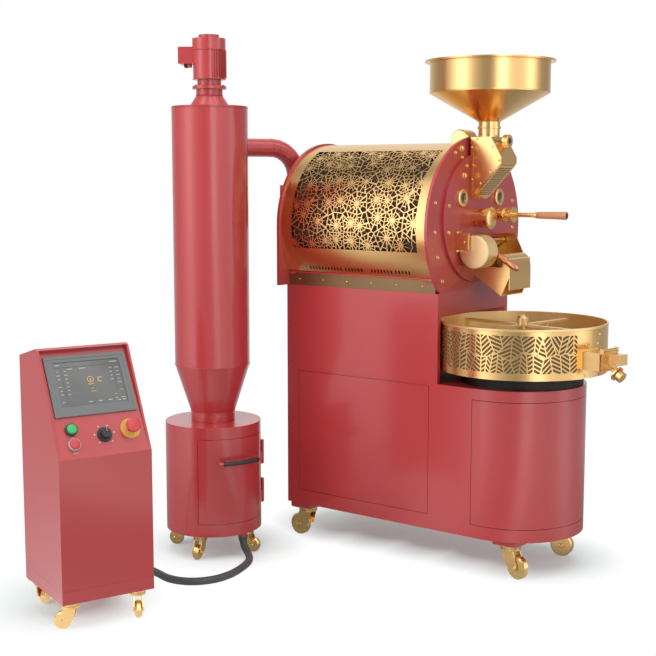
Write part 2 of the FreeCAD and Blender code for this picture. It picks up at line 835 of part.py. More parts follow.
def make_front_plate():
    plate = arched_plate("face_arch", "plate_radius", FACE_BACK, "plate_thick")
    boss = cylinder("face_boss", "boss_radius", "boss_thick + plate_thick / 2",
                    ("-burner_front - plate_thick / 2", "0", "drum_height"), ALONG_X)
    depth = "plate_thick + boss_thick + 2 * cut_over"
    start = "-burner_front - plate_thick - cut_over"
    holes = [
        cylinder("face_bearing_hole", "shaft_radius + cut_over", depth,
                 (start, "0", "drum_height"), ALONG_X),
        cylinder("face_trier_hole", "trier_radius + cut_over", depth,
                 (start, "trier_side", "trier_height"), ALONG_X),
        cylinder("face_sight_left", "sight_bore + seat_gap", depth,
                 (start, "-sight_left", "sight_height"), ALONG_X),
        cylinder("face_sight_right", "sight_bore + seat_gap", depth,
                 (start, "sight_right", "sight_height"), ALONG_X),
        box("face_inlet", (depth, "2 * (chute_half - 2 * chute_wall)",
                           "inlet_top - inlet_low"),
            (start, "-chute_half + 2 * chute_wall", "inlet_low")),
        box("face_mouth", (depth, "scoop_left + scoop_right - 2 * mouth_margin",
                           "mouth_top - mouth_low"),
            (start, "-scoop_left + mouth_margin", "mouth_low")),
    ]
    return roaster("front_plate", cut("front_plate", joined("face_solid", [plate, boss]), holes))


def make_drum_cover():
    length = f"{COVER_FRONT} - ({COVER_REAR}) - 2 * seat_gap"
    x_at = f"{COVER_REAR} + seat_gap"
    outer = cylinder("cover_outer", "cover_radius", length, (x_at, "0", "arch_height"), ALONG_X)
    inner = cylinder("cover_inner", "cover_radius - cover_wall", f"{length} + 2 * cut_over",
                     (f"{x_at} - cut_over", "0", "arch_height"), ALONG_X)
    foot = box("cover_foot", (f"{length} + 2 * cut_over", "2 * cover_radius", "cover_radius"),
               (f"{x_at} - cut_over", "-cover_radius", "rail_top + seat_gap - cover_radius"))
    crown = cylinder("crown_cap", "cap_radius", "cap_length",
                     ("-burner_front - plate_thick - seat_gap - cap_back", "-cap_length / 2",
                      "arch_height + cover_radius + cap_rise"), ALONG_Y)
    crown_cut = cylinder("crown_cut", "cover_radius - cover_wall / 2", "2 * cap_length",
                         ("-burner_front - plate_thick - 2 * cap_length", "0", "arch_height"),
                         ALONG_X)
    crown_piece = cut("crown_piece", crown, [crown_cut])
    shell = cut("cover_shell", outer, [inner, foot])
    return roaster("drum_cover", joined("drum_cover", [shell, crown_piece]))


def make_cover_rails():
    """Two upright strips on the burner cabinet's top edges that carry the cover."""
    length = f"{COVER_FRONT} - ({COVER_REAR}) - 2 * seat_gap"
    rails = []
    for name, y_at in (("near", f"-{HALF}"), ("far", f"{HALF} - rail_thick")):
        rails.append(box(f"rail_{name}", (length, "rail_thick", "rail_top - burner_top"),
                         (f"{COVER_REAR} + seat_gap", y_at, "burner_top")))
    return roaster("cover_rails", group("cover_rails", rails))


# Drum with its shaft, carried by the gearmotor behind and the bearing in front
DRUM_FRONT = "(-burner_front - plate_thick - drum_end_gap)"
DRUM_REAR = "(-cab_rear + plate_thick + drum_end_gap)"
SHAFT_FRONT = f"({BOSS_FRONT} + bearing_length - seat_gap)"
SHAFT_REAR = "(-cab_rear - motor_flange_thick - shaft_grip)"


def drum_spider(name, x_at):
    """A hub with four spokes that ties the shell to the shaft."""
    pieces = [cylinder(name + "_hub", "hub_radius", "hub_length", (x_at, "0", "0"), ALONG_X)]
    reach = "(drum_radius - drum_wall / 2)"
    pieces.append(box(name + "_bar_y", ("spoke_thick", f"2 * {reach}", "spoke_width"),
                      (x_at, f"-{reach}", "-spoke_width / 2")))
    pieces.append(box(name + "_bar_z", ("spoke_thick", "spoke_width", f"2 * {reach}"),
                      (x_at, "-spoke_width / 2", f"-{reach}")))
    return pieces


def make_drum():
    length = f"{DRUM_FRONT} - {DRUM_REAR}"
    outer = cylinder("drum_outer", "drum_radius", length, (DRUM_REAR, "0", "0"), ALONG_X)
    inner = cylinder("drum_inner", "drum_radius - drum_wall", length,
                     (f"{DRUM_REAR} + drum_wall", "0", "0"), ALONG_X)
    shell = cut("drum_shell", outer, [inner])
    shaft = cylinder("drum_shaft", "shaft_radius", f"{SHAFT_FRONT} - {SHAFT_REAR}",
                     (SHAFT_REAR, "0", "0"), ALONG_X)
    vanes = []
    depth = "(vane_height + drum_wall / 2)"
    for number, (across, along) in enumerate(((1, 0), (0, 1), (-1, 0), (0, -1))):
        size_y = depth if across else "vane_thick"
        size_z = depth if along else "vane_thick"
        start = "drum_radius - drum_wall / 2"
        edges = {1: f"{start} - {depth}", -1: f"-({start})", 0: "-vane_thick / 2"}
        vane = box(f"drum_vane_{number}", (f"{length} - drum_wall", size_y, size_z),
                   (f"{DRUM_REAR} + drum_wall / 2", edges[across], edges[along]))
        vanes.append(vane)
    rear_spider = drum_spider("rear_spider", DRUM_REAR)
    mid_spider = drum_spider("mid_spider", f"{DRUM_FRONT} - spider_back")
    pieces = [shell, shaft] + vanes + rear_spider + mid_spider
    return roaster("drum", joined("drum", pieces), ("0", "0", "drum_height"))


def make_drum_gearmotor():
    centre = ("0", "drum_height")
    flange = cylinder("drive_flange", "motor_flange_radius", "motor_flange_thick",
                      ("-cab_rear - motor_flange_thick",) + centre, ALONG_X)
    case_rear = "-cab_rear - motor_flange_thick - gear_case_depth"
    case = box("drive_case", ("gear_case_depth", "gear_case_side", "gear_case_side"),
               (case_rear, "-gear_case_side / 2", "drum_height - gear_case_side / 2"))
    motor = cylinder("drive_motor", "drive_motor_radius", "drive_motor_length",
                     (f"{case_rear} - drive_motor_length",) + centre, ALONG_X)
    bore = cylinder("drive_bore", "shaft_radius + run_gap",
                    "motor_flange_thick + shaft_grip + seat_gap + cut_over",
                    ("-cab_rear - motor_flange_thick - shaft_grip - seat_gap",) + centre,
                    ALONG_X)
    body = joined("drive_solid", [flange, case, motor])
    return roaster("drum_gearmotor", cut("drum_gearmotor", body, [bore]))


# Brass fittings on the face: bearing, sight glasses and the trier with its guide
def make_front_bearing():
    bearing = turned("front_bearing", (
        ("shaft_radius + run_gap", "0"),
        ("bearing_radius", "0"),
        ("bearing_radius", "bearing_length"),
        ("bearing_cap_radius", "bearing_length"),
        ("bearing_cap_radius", "bearing_length + bearing_cap_thick"),
        ("0", "bearing_length + bearing_cap_thick"),
        ("0", "bearing_length + seat_gap"),
        ("shaft_radius + run_gap", "bearing_length + seat_gap"),
    ))
    return roaster("front_bearing", bearing, (BOSS_FRONT, "0", "drum_height"), ALONG_X)


def make_sight_glasses():
    glasses = []
    for name, y_at in (("left", "-sight_left"), ("right", "sight_right")):
        glasses.append(turned(f"sight_{name}", (
            ("0", "-sight_spigot"),
            ("sight_bore", "-sight_spigot"),
            ("sight_bore", "0"),
            ("sight_radius", "0"),
            ("sight_radius", "sight_proud * 2 / 3"),
            ("sight_radius - sight_proud / 3", "sight_proud"),
            ("sight_bore", "sight_proud"),
            ("sight_bore - sight_proud / 3", "sight_proud * 2 / 3"),
            ("0", "sight_proud * 2 / 3"),
        ), (BOSS_FRONT, y_at, "sight_height"), ALONG_X))
    return roaster("sight_glasses", group("sight_glasses", glasses))


TRIER_AT = (BOSS_FRONT, "trier_side", "trier_height")


def make_trier_guide():
    guide = turned("trier_guide", (
        ("trier_radius + run_gap", "0"),
        ("guide_flange_radius", "0"),
        ("guide_flange_radius", "guide_flange_thick"),
        ("guide_radius", "guide_flange_thick"),
        ("guide_radius", "guide_length - guide_flange_thick"),
        ("guide_flange_radius - trier_wall", "guide_length - guide_flange_thick"),
        ("guide_flange_radius - trier_wall", "guide_length"),
        ("trier_radius + run_gap", "guide_length"),
    ))
    return roaster("trier_guide", guide, TRIER_AT, ALONG_X)


def make_trier():
    """The sampling spoon: a scooped tube, a stop collar and the rod to the handle."""
    spoon = turned("trier_tube", (
        ("0", "-trier_reach"),
        ("trier_radius", "-trier_reach"),
        ("trier_radius", "guide_length + seat_gap"),
        ("guide_flange_radius", "guide_length + seat_gap"),
        ("guide_flange_radius", "guide_length + seat_gap + trier_collar_thick"),
        ("trier_rod_radius", "guide_length + seat_gap + trier_collar_thick"),
        ("trier_rod_radius", "guide_length + trier_collar_thick + trier_rod_length"),
        ("grip_tang_radius", "guide_length + trier_collar_thick + trier_rod_length"),
        ("grip_tang_radius",
         "guide_length + trier_collar_thick + trier_rod_length + grip_bore_depth - seat_gap"),
        ("0", "guide_length + trier_collar_thick + trier_rod_length + grip_bore_depth - seat_gap"),
    ))
    pocket = cylinder("trier_pocket", "trier_radius - trier_wall", "trier_reach - guide_flange_thick",
                      ("0", "0", "-trier_reach + guide_flange_thick / 2"))
    mouth = box("trier_mouth", ("2 * trier_radius", "2 * trier_radius",
                                "trier_reach - guide_flange_thick"),
                ("-trier_radius * 2", "-trier_radius", "-trier_reach + guide_flange_thick / 2"))
    scooped = cut("trier_scooped", spoon, [pocket, mouth])
    return roaster("trier", scooped, TRIER_AT, ALONG_X)


def make_trier_handle():
    handle = turned("trier_handle", (
        ("grip_tang_radius", "0"),
        ("grip_end_radius", "0"),
        ("grip_radius", "grip_end_radius"),
        ("grip_radius", "grip_length - grip_end_radius / 2"),
        ("grip_end_radius", "grip_length"),
        ("0", "grip_length"),
        ("0", "grip_bore_depth"),
        ("grip_tang_radius", "grip_bore_depth"),
    ))
    start = f"{BOSS_FRONT} + guide_length + trier_collar_thick + trier_rod_length"
    return roaster("trier_handle", handle, (start, "trier_side", "trier_height"), ALONG_X)


# Hopper with its neck, the feed chute below it and the slide gate between them
def make_hopper():
    inner_neck = "neck_radius - hopper_wall"
    shell = turned("hopper", (
        (inner_neck, "chute_top + seat_gap"),
        ("neck_radius", "chute_top + seat_gap"),
        ("neck_radius", "cone_low"),
        ("hopper_radius", "hopper_low"),
        ("hopper_radius", "rim_top - rim_thick"),
        ("rim_radius", "rim_top - rim_thick"),
        ("rim_radius", "rim_top"),
        ("hopper_radius - hopper_wall", "rim_top"),
        ("hopper_radius - hopper_wall", "hopper_low + hopper_wall / 2"),
        (inner_neck, "cone_low + hopper_wall / 2"),
    ))
    return roaster("hopper", shell, ("-hopper_back", "0", "0"))


CHUTE_BACK = f"({BOSS_FRONT} + seat_gap)"


def make_feed_chute():
    corners = (
        (CHUTE_BACK, "chute_low"),
        (f"{CHUTE_BACK} + 2 * chute_wall", "chute_low"),
        ("-lip_front", "lip_low"),
        ("-lip_front", "lip_top"),
        ("-chute_front", "chute_top"),
        (CHUTE_BACK, "chute_top"),
    )
    outer = prism("chute_outer", "XZ_Plane", corners, "2 * chute_half", ("0", "-chute_half", "0"))
    inner_corners = (
        (f"{CHUTE_BACK} - cut_over", "chute_low + 3 * chute_wall"),
        (f"{CHUTE_BACK} + chute_wall", "chute_low + 3 * chute_wall"),
        ("-lip_front - chute_wall", "lip_low + chute_wall"),
        ("-lip_front - chute_wall", "lip_top - chute_wall"),
        ("-chute_front - chute_wall", "chute_top - chute_wall"),
        (f"{CHUTE_BACK} - cut_over", "chute_top - chute_wall"),
    )
    inner = prism("chute_inner", "XZ_Plane", inner_corners, "2 * (chute_half - chute_wall)",
                  ("0", "-chute_half + chute_wall", "0"))
    throat = cylinder("chute_throat", "neck_radius - hopper_wall", "2 * cut_over",
                      ("-hopper_back", "0", "chute_top - chute_wall - cut_over / 2"))
    rod_hole = cylinder("gate_rod_hole", "gate_rod_radius + gate_play", "lip_front",
                        ("-chute_front - 2 * chute_wall", "0", "gate_height + gate_thick / 2"),
                        ALONG_X)
    slot = box("gate_slot", ("lip_front", "2 * (gate_half + gate_play)",
                             "gate_thick + 2 * gate_play"),
               ("-chute_front - chute_wall", "-gate_half - gate_play",
                "gate_height - gate_play"))
    ledges = []
    ledge_length = f"-chute_front - ({CHUTE_BACK})"
    for name, y_at in (("near", "-chute_half + chute_wall / 2"),
                       ("far", "chute_half - chute_wall / 2 - gate_ledge")):
        ledges.append(box(f"gate_ledge_{name}", (ledge_length, "gate_ledge", "gate_thick"),
                          (CHUTE_BACK, y_at, "gate_height - gate_thick - seat_gap")))
    shell = cut("chute_shell", outer, [inner, throat, slot, rod_hole])
    return roaster("feed_chute", joined("feed_chute", [shell] + ledges))


def make_feed_gate():
    """The slide gate under the hopper's neck, with its rod and knob in front."""
    rear = f"{CHUTE_BACK} + seat_gap"
    length = f"-chute_front - ({rear})"
    plate = box("gate_plate", (length, "2 * gate_half", "gate_thick"),
                (rear, "-gate_half", "gate_height"))
    middle = "gate_height + gate_thick / 2"
    rod = cylinder("gate_rod", "gate_rod_radius", "gate_rod_length + gate_rod_radius",
                   ("-chute_front - gate_rod_radius", "0", middle), ALONG_X)
    knob = cylinder("gate_knob", "gate_knob_radius", "gate_knob_thick",
                    ("-chute_front + gate_rod_length", "0", middle), ALONG_X)
    face = cylinder("gate_knob_face", "gate_face_radius", "gate_face_thick",
                    ("-chute_front + gate_rod_length + gate_knob_thick", "0", middle), ALONG_X)
    return roaster("feed_gate", joined("feed_gate", [plate, rod, knob, face]))


# Discharge: the scoop under the mouth, its brackets, and the weighted door on its pivot
SCOOP_BACK = f"({BOSS_FRONT} + seat_gap)"


def make_discharge_chute():
    scoop_floor = prism("scoop_floor", "XZ_Plane", (
        (SCOOP_BACK, "scoop_heel"),
        ("-scoop_front", "scoop_low"),
        ("-scoop_front", "scoop_low + chute_wall"),
        (SCOOP_BACK, "scoop_heel + chute_wall"),
    ), "scoop_left + scoop_right", ("0", "-scoop_left", "0"))
    left_cheek = prism("scoop_left_cheek", "XZ_Plane", (
        (SCOOP_BACK, "scoop_heel"),
        ("-scoop_front", "scoop_low"),
        ("-hood_front", "hood_low"),
        ("-hood_front", "cheek_top"),
        (SCOOP_BACK, "cheek_top"),
    ), "chute_wall", ("0", "-scoop_left", "0"))
    right_cheek = prism("scoop_right_cheek", "XZ_Plane", (
        (SCOOP_BACK, "scoop_heel"),
        ("-scoop_front", "scoop_low"),
        ("-hood_front", "hood_low"),
        ("-hood_front", "hood_crown"),
        ("-hood_brow", "hood_brow_height"),
        ("-hood_shoulder", "hood_top"),
        (SCOOP_BACK, "hood_top"),
    ), "chute_wall", ("0", "scoop_right - chute_wall", "0"))
    hood = prism("scoop_hood", "XZ_Plane", (
        ("-hood_front", "hood_low"),
        ("-hood_front", "hood_crown"),
        ("-hood_brow", "hood_brow_height"),
        ("-hood_brow", "hood_brow_height - chute_wall"),
        ("-hood_front - chute_wall", "hood_crown - chute_wall"),
        ("-hood_front - chute_wall", "hood_low"),
    ), "scoop_left + scoop_right", ("0", "-scoop_left", "0"))
    left_end = prism("scoop_hood_end", "XZ_Plane", (
        ("-hood_front", "hood_low"),
        ("-hood_front", "hood_crown"),
        ("-hood_brow", "hood_brow_height"),
        ("-hood_brow", "hood_low"),
    ), "chute_wall", ("0", "-scoop_left", "0"))
    scoop = joined("scoop_solid", [scoop_floor, left_cheek, right_cheek, hood, left_end])
    bracket_depth = f"-pivot_front + bracket_half - {SCOOP_BACK}"
    bracket = box("pivot_bracket", (bracket_depth, "bracket_thick", "bracket_top - bracket_low"),
                  (SCOOP_BACK, "-pivot_left", "bracket_low"))
    boss = cylinder("pivot_boss", "lug_radius", "bracket_thick",
                    ("-pivot_front", "scoop_right - chute_wall", "pivot_height"), ALONG_Y)
    bore = cylinder("pivot_bore", "pivot_radius + run_gap",
                    "pivot_left + pivot_right + 4 * cut_over",
                    ("-pivot_front", "-pivot_left - 2 * cut_over", "pivot_height"), ALONG_Y)
    bored = [cut("scoop_bored", joined("scoop_bossed", [scoop, boss]), [bore]),
             cut("bracket_bored", bracket, [bore])]
    return roaster("discharge_chute", group("discharge_chute", bored))


DOOR_BACK = f"({BOSS_FRONT} + 2 * seat_gap)"
DOOR_LEFT = "(-scoop_left + mouth_margin - door_lap)"
DOOR_RIGHT = "(scoop_right - mouth_margin + door_lap)"


def make_discharge_door():
    plate = box("mouth_door", ("door_thick", f"{DOOR_RIGHT} - {DOOR_LEFT}",
                               "pivot_height - door_drop - mouth_low + door_lap / 2"),
                (DOOR_BACK, DOOR_LEFT, "mouth_low - door_lap / 2"))
    shaft_start = "-pivot_left + bracket_thick / 4"
    shaft = cylinder("pivot_shaft", "pivot_radius", "pivot_left + pivot_right - bracket_thick / 4",
                     ("-pivot_front", shaft_start, "pivot_height"), ALONG_Y)
    lugs = []
    lug_places = ((f"{DOOR_LEFT}", "left"), (f"{DOOR_RIGHT} - lug_thick", "right"))
    for y_at, name in lug_places:
        eye = cylinder(f"lug_eye_{name}", "lug_radius", "lug_thick",
                       ("-pivot_front", y_at, "pivot_height"), ALONG_Y)
        arm = prism(f"lug_arm_{name}", "XZ_Plane", (
            (DOOR_BACK, "pivot_height - 3 * lug_radius"),
            ("-pivot_front + lug_radius", "pivot_height"),
            ("-pivot_front", "pivot_height"),
            (DOOR_BACK, "pivot_height - door_drop"),
        ), "lug_thick", ("0", y_at, "0"))
        lugs += [eye, arm]
    bar = box("lever_bar", ("lever_length + lever_half", "lever_thick", "2 * lever_half"),
              ("0", "0", "-lever_half"))
    rod = cylinder("lever_rod", "handle_rod_radius", "handle_rod_length + handle_length / 2",
                   ("lever_length", "lever_thick / 2", "0"), ALONG_X)
    return roaster("discharge_door",
                   joined("discharge_door", [plate, shaft] + lugs + lever_set("lever", [bar, rod])))


def lever_set(name, pieces):
    """Pieces of the lever, laid along X from the pivot, turned down and put in place."""
    lever = place(united(name + "_turned", pieces),
                  ("-pivot_front", "-lever_near", "pivot_height"), ABOUT_Y, "lever_fall")
    return [lever]


def make_discharge_grip():
    """The copper-toned grip on the end of the lever's rod."""
    grip = turned("grip_body", (
        ("handle_rod_radius + run_gap", "0"),
        ("handle_radius * 0.8", "0"),
        ("handle_radius", "handle_radius"),
        ("handle_radius", "handle_length - handle_radius"),
        ("handle_radius * 0.8", "handle_length"),
        ("0", "handle_length"),
        ("0", "handle_length / 2 + seat_gap"),
        ("handle_rod_radius + run_gap", "handle_length / 2 + seat_gap"),
    ), ("lever_length + handle_rod_length", "lever_thick / 2", "0"), ALONG_X)
    return roaster("discharge_grip", group("discharge_grip", lever_set("grip", [grip])))


def make_discharge_weight():
    disc = cylinder("weight_disc", "weight_radius", "weight_near - weight_far",
                    ("-weight_front", "-weight_near", "weight_height"), ALONG_Y)
    bore = cylinder("weight_bore", "pivot_radius + run_gap", "weight_near - weight_far + 2 * cut_over",
                    ("-pivot_front", "-weight_near - cut_over", "pivot_height"), ALONG_Y)
    return roaster("discharge_weight", cut("discharge_weight", disc, [bore]))


# Cooling tray on its plenum, the perforated floor, the stirrer and the tray's gate
def turned_outward(name, pieces):
    """Pieces laid along X from the tray's axis, turned to the outlet's direction."""
    return place(united(name, pieces), ("0", "0", "0"), ABOUT_Z, "-outlet_turn")


def make_tray_base():
    ring = turned("plenum_ring", (
        ("plenum_radius - plenum_wall", "deck_top"),
        ("plenum_radius", "deck_top"),
        ("plenum_radius", "tray_low - plenum_wall"),
        ("plenum_radius + plenum_flange", "tray_low - plenum_wall"),
        ("plenum_radius + plenum_flange", "tray_low"),
        ("plenum_radius - plenum_wall", "tray_low"),
    ))
    case = cylinder("stir_gearbox", "gearbox_radius", "floor_height - gearbox_rib - deck_top",
                    ("0", "0", "deck_top"))
    ribs = []
    reach = "(plenum_radius - plenum_wall / 2)"
    ribs.append(box("stir_rib_x", (f"2 * {reach}", "gearbox_rib", "2 * gearbox_rib"),
                    (f"-{reach}", "-gearbox_rib / 2", "deck_top")))
    ribs.append(box("stir_rib_y", ("gearbox_rib", f"2 * {reach}", "2 * gearbox_rib"),
                    ("-gearbox_rib / 2", f"-{reach}", "deck_top")))
    bore = cylinder("stir_bore", "spindle_radius + run_gap", "floor_height",
                    ("0", "0", "deck_top + 2 * gearbox_rib"))
    return roaster("tray_base", cut("tray_base", joined("tray_base_solid", [ring, case] + ribs),
                                    [bore]))


def make_cooling_tray():
    inner = "tray_radius - tray_wall"
    wall = turned("tray_shell", (
        ("plenum_radius - plenum_wall", "tray_low"),
        ("tray_radius", "tray_low"),
        ("tray_radius", "tray_top - tray_bead_height"),
        ("tray_radius + tray_bead", "tray_top - tray_bead_height"),
        ("tray_radius + tray_bead", "tray_top"),
        (inner, "tray_top"),
        (inner, "floor_height"),
        (f"{inner} - floor_ledge", "floor_height"),
        (f"{inner} - floor_ledge", "floor_height - tray_wall"),
        (inner, "floor_height - tray_wall"),
        (inner, "tray_low + tray_wall"),
        ("plenum_radius - plenum_wall", "tray_low + tray_wall"),
    ))
    width = "2 * (outlet_half + tray_wall)"
    sleeve = box("outlet_sleeve", (f"outlet_end - {inner}", width,
                                   "outlet_top - outlet_low + 2 * tray_wall"),
                 (inner, "-outlet_half - tray_wall", "outlet_low - tray_wall"))
    hole = box("outlet_hole", (f"outlet_end - ({inner}) + 6 * cut_over", "2 * outlet_half",
                               "outlet_top - outlet_low"),
               (f"{inner} - 5 * cut_over", "-outlet_half", "outlet_low"))
    ears = []
    for name, y_at in (("near", "-outlet_half - tray_wall"), ("far", "outlet_half - 2 * tray_wall")):
        ears.append(box(f"gate_ear_{name}", ("2 * gate_barrel_radius", "3 * tray_wall",
                                             "3 * gate_barrel_radius"),
                        ("outlet_end - gate_barrel_radius", y_at, "outlet_top + seat_gap")))
    ear_pin = cylinder("gate_pin", "gate_barrel_radius / 2", "2 * outlet_half",
                       GATE_PIN_AT, ALONG_Y)
    trim = cylinder("outlet_trim", inner, "tray_top", ("0", "0", "tray_low - tray_wall"))
    sleeve_cut = cut("outlet_sleeve_trimmed", sleeve, [trim])
    outlet = turned_outward("outlet_turned", [sleeve_cut] + ears + [ear_pin])
    bore = turned_outward("outlet_bore", [hole])
    return roaster("cooling_tray", cut("cooling_tray", joined("tray_solid", [wall, outlet]), [bore]))


GATE_PIN_AT = ("outlet_end + gate_barrel_radius / 2", "-outlet_half",
               "outlet_top + 2 * gate_barrel_radius")


def make_tray_floor():
    """A flat disc with rings of holes for the cooling air."""
    disc = cylinder("floor_disc", "tray_radius - tray_wall - seat_gap", "floor_thick",
                    ("0", "0", "floor_height + seat_gap"))
    hub_hole = cylinder("floor_hub_hole", "spindle_radius + seat_gap", "floor_thick + 2 * cut_over",
                        ("0", "0", "floor_height - cut_over"))
    floor = cut("floor_plain", disc, [hub_hole])
    rings = []
    for ring, (share, count) in enumerate(FLOOR_RING_SHARES):
        for number in range(count):
            hole = cylinder(f"floor_hole_{ring}_{number}", "floor_hole_radius",
                            "floor_thick + 2 * cut_over",
                            (f"tray_radius * {share} * cos({number * 360 / count} deg)",
                             f"tray_radius * {share} * sin({number * 360 / count} deg)",
                             "floor_height - cut_over"))
            rings.append(hole)
    return roaster("tray_floor", cut("tray_floor", floor, [group("floor_holes", rings)]))


FLOOR_RING_SHARES = ((0.2, 8), (0.36, 14), (0.52, 20), (0.68, 26), (0.84, 32))


def make_stirrer():
    top_of_floor = "(floor_height + seat_gap + floor_thick)"
    spindle = cylinder("stir_spindle", "spindle_radius", f"{top_of_floor} - tray_low + blade_low_gap",
                       ("0", "0", "tray_low"))
    hub = turned("stir_hub", (
        ("0", f"{top_of_floor} + seat_gap"),
        ("stir_hub_radius * 1.3", f"{top_of_floor} + seat_gap"),
        ("stir_hub_radius * 1.3", f"{top_of_floor} + blade_height"),
        ("stir_hub_radius * 0.7", f"{top_of_floor} + 2 * blade_height"),
        ("stir_hub_radius * 0.7", "arm_height - arm_thick"),
        ("stir_hub_radius", "arm_height - arm_thick"),
        ("stir_hub_radius", "stir_top - arm_thick"),
        ("stir_hub_radius * 0.5", "stir_top"),
        ("0", "stir_top"),
    ))
    arms = []
    blade_low = f"{top_of_floor} + blade_low_gap"
    for number in range(4):
        inner_side = number % 2
        foot_at = "arm_reach - arm_width" if inner_side == 0 else "arm_reach / 2"
        bar = box(f"stir_bar_{number}", ("arm_reach", "arm_width", "arm_thick"),
                  ("0", "-arm_width / 2", "arm_height"))
        leg = box(f"stir_leg_{number}", ("arm_width", "arm_thick", f"arm_height - ({blade_low})"),
                  (foot_at, "-arm_thick / 2", blade_low))
        blade = box(f"stir_blade_{number}", ("blade_length", "arm_thick / 2", "blade_height"),
                    (f"{foot_at} + arm_width - blade_length", "-arm_thick / 4", blade_low))
        arms.append(place(united(f"stir_arm_{number}", [bar, leg, blade]), ("0", "0", "0"),
                          ABOUT_Z, f"{number * 90} - arm_turn"))
    return roaster("stirrer", joined("stirrer", [spindle, hub] + arms))


def make_tray_gate():
    """The flap over the outlet's mouth, with its handle block, rod, disc and knob."""
    start = "outlet_end + seat_gap"
    flap = box("flap_plate", ("flap_thick", "2 * outlet_half", "outlet_top - outlet_low + tray_wall"),
               (start, "-outlet_half", "outlet_low - tray_wall"))
    eye_half = "(outlet_half - 3 * tray_wall)"
    riser = box("flap_riser", ("flap_thick", f"2 * {eye_half}", "2 * gate_barrel_radius"),
                (start, f"-{eye_half}", "outlet_top - tray_wall"))
    barrel = cylinder("flap_barrel", "gate_barrel_radius", f"2 * {eye_half}",
                      (GATE_PIN_AT[0], f"-{eye_half}", GATE_PIN_AT[2]), ALONG_Y)
    bore = cylinder("flap_bore", "gate_barrel_radius / 2 + run_gap", "2 * outlet_half",
                    GATE_PIN_AT, ALONG_Y)
    block = box("flap_block", (f"flap_block_reach - ({start})", "2 * flap_block_half",
                               "outlet_top - flap_block_low"),
                (start, "-flap_block_half", "flap_block_low"))
    shank = box("flap_shank", ("2 * flap_thick", "flap_thick * 3",
                               "flap_block_low - outlet_low + flap_thick"),
                (start, "-flap_thick * 1.5", "outlet_low - flap_thick / 2"))
    rod = cylinder("flap_rod", "flap_rod_radius", "flap_rod_length", ("0", "0", "0"), ALONG_X)
    disc = cylinder("flap_disc", "flap_disc_radius", "flap_disc_thick",
                    ("flap_rod_length * 0.6", "0", "0"), ALONG_X)
    knob = cylinder("flap_knob", "flap_knob_radius", "flap_knob_thick",
                    ("flap_rod_length * 0.8", "0", "0"), ALONG_X)
    lever = place(united("flap_lever", [rod, disc, knob]),
                  (f"{start} + flap_thick", "0", "outlet_low + flap_rod_radius"),
                  ABOUT_Y, "flap_rod_fall")
    gate = cut("flap_bored", joined("flap_solid", [flap, riser, barrel, block, shank, lever]), [bore])
    return roaster("tray_gate", group("tray_gate", [turned_outward("flap_turned", [gate])]))


# Exhaust duct: smoke box on the rear plate, upright leg, bend, and run to the cyclone,
# which it meets at a tangent; the leg's place fixes the run's direction and length
LEG_DX = "(cyclone_back - duct_leg_back)"
LEG_DY = "(cyclone_side - duct_leg_side)"
TANGENT = "(body_radius - duct_radius)"
LEG_SPAN = f"sqrt({LEG_DX} * {LEG_DX} + {LEG_DY} * {LEG_DY})"
DUCT_TURN = f"atan2({LEG_DY}; {LEG_DX}) - asin({TANGENT} / {LEG_SPAN})"
DUCT_RUN = (f"(sqrt({LEG_SPAN} * {LEG_SPAN} - {TANGENT} * {TANGENT}) - stub_length"
            f" - seat_gap - duct_bend)")
ELBOW = FreeCAD.Rotation(Vector(1, 0, 0), 90)


def duct_core(name, radius, overrun):
    """Leg, bend and run of the duct as one solid of a given radius."""
    bend_centre = "(duct_height - duct_bend)"
    leg = cylinder(name + "_leg", radius, f"{bend_centre} - smoke_box_top + 2 * duct_wall",
                   ("0", "0", "smoke_box_top - 2 * duct_wall"))
    bend = torus(name + "_bend", "duct_bend", radius, "90 deg", ("-duct_bend", "0", bend_centre),
                 ELBOW)
    run = cylinder(name + "_run", radius, f"{DUCT_RUN} + {overrun}",
                   (f"-duct_bend - {DUCT_RUN} - {overrun}", "0", "duct_height"), ALONG_X)
    return joined(name, [leg, bend, run])


def make_exhaust_duct():
    outer = duct_core("duct_outer", "duct_radius", "0")
    flange = cylinder("duct_flange", "duct_radius + stub_flange", "stub_flange_thick",
                      (f"-duct_bend - {DUCT_RUN}", "0", "duct_height"), ALONG_X)
    pipe = joined("duct_pipe", [outer, flange])
    leg_at = ("-duct_leg_back", "-duct_leg_side", "0")
    pipe_set = turned_about_z("duct_turned", pipe, DUCT_TURN, leg_at)
    hollow = duct_core("duct_inner", "duct_radius - duct_wall", "cut_over")
    hollow_set = turned_about_z("duct_bore", hollow, DUCT_TURN, leg_at)
    size = ("smoke_box_depth", "2 * smoke_box_half", "smoke_box_top - smoke_box_low")
    box_rear = "-cab_rear - seat_gap - smoke_box_depth"
    case = box("smoke_box", size, (box_rear, "-duct_leg_side - smoke_box_half", "smoke_box_low"))
    room = box("smoke_room",
               ("smoke_box_depth - duct_wall + cut_over", "2 * (smoke_box_half - duct_wall)",
                "smoke_box_top - smoke_box_low - 2 * duct_wall"),
               (f"{box_rear} + duct_wall", "-duct_leg_side - smoke_box_half + duct_wall",
                "smoke_box_low + duct_wall"))
    solid = joined("duct_solid", [case, pipe_set])
    return roaster("exhaust_duct", cut("exhaust_duct", solid, [room, hollow_set]))


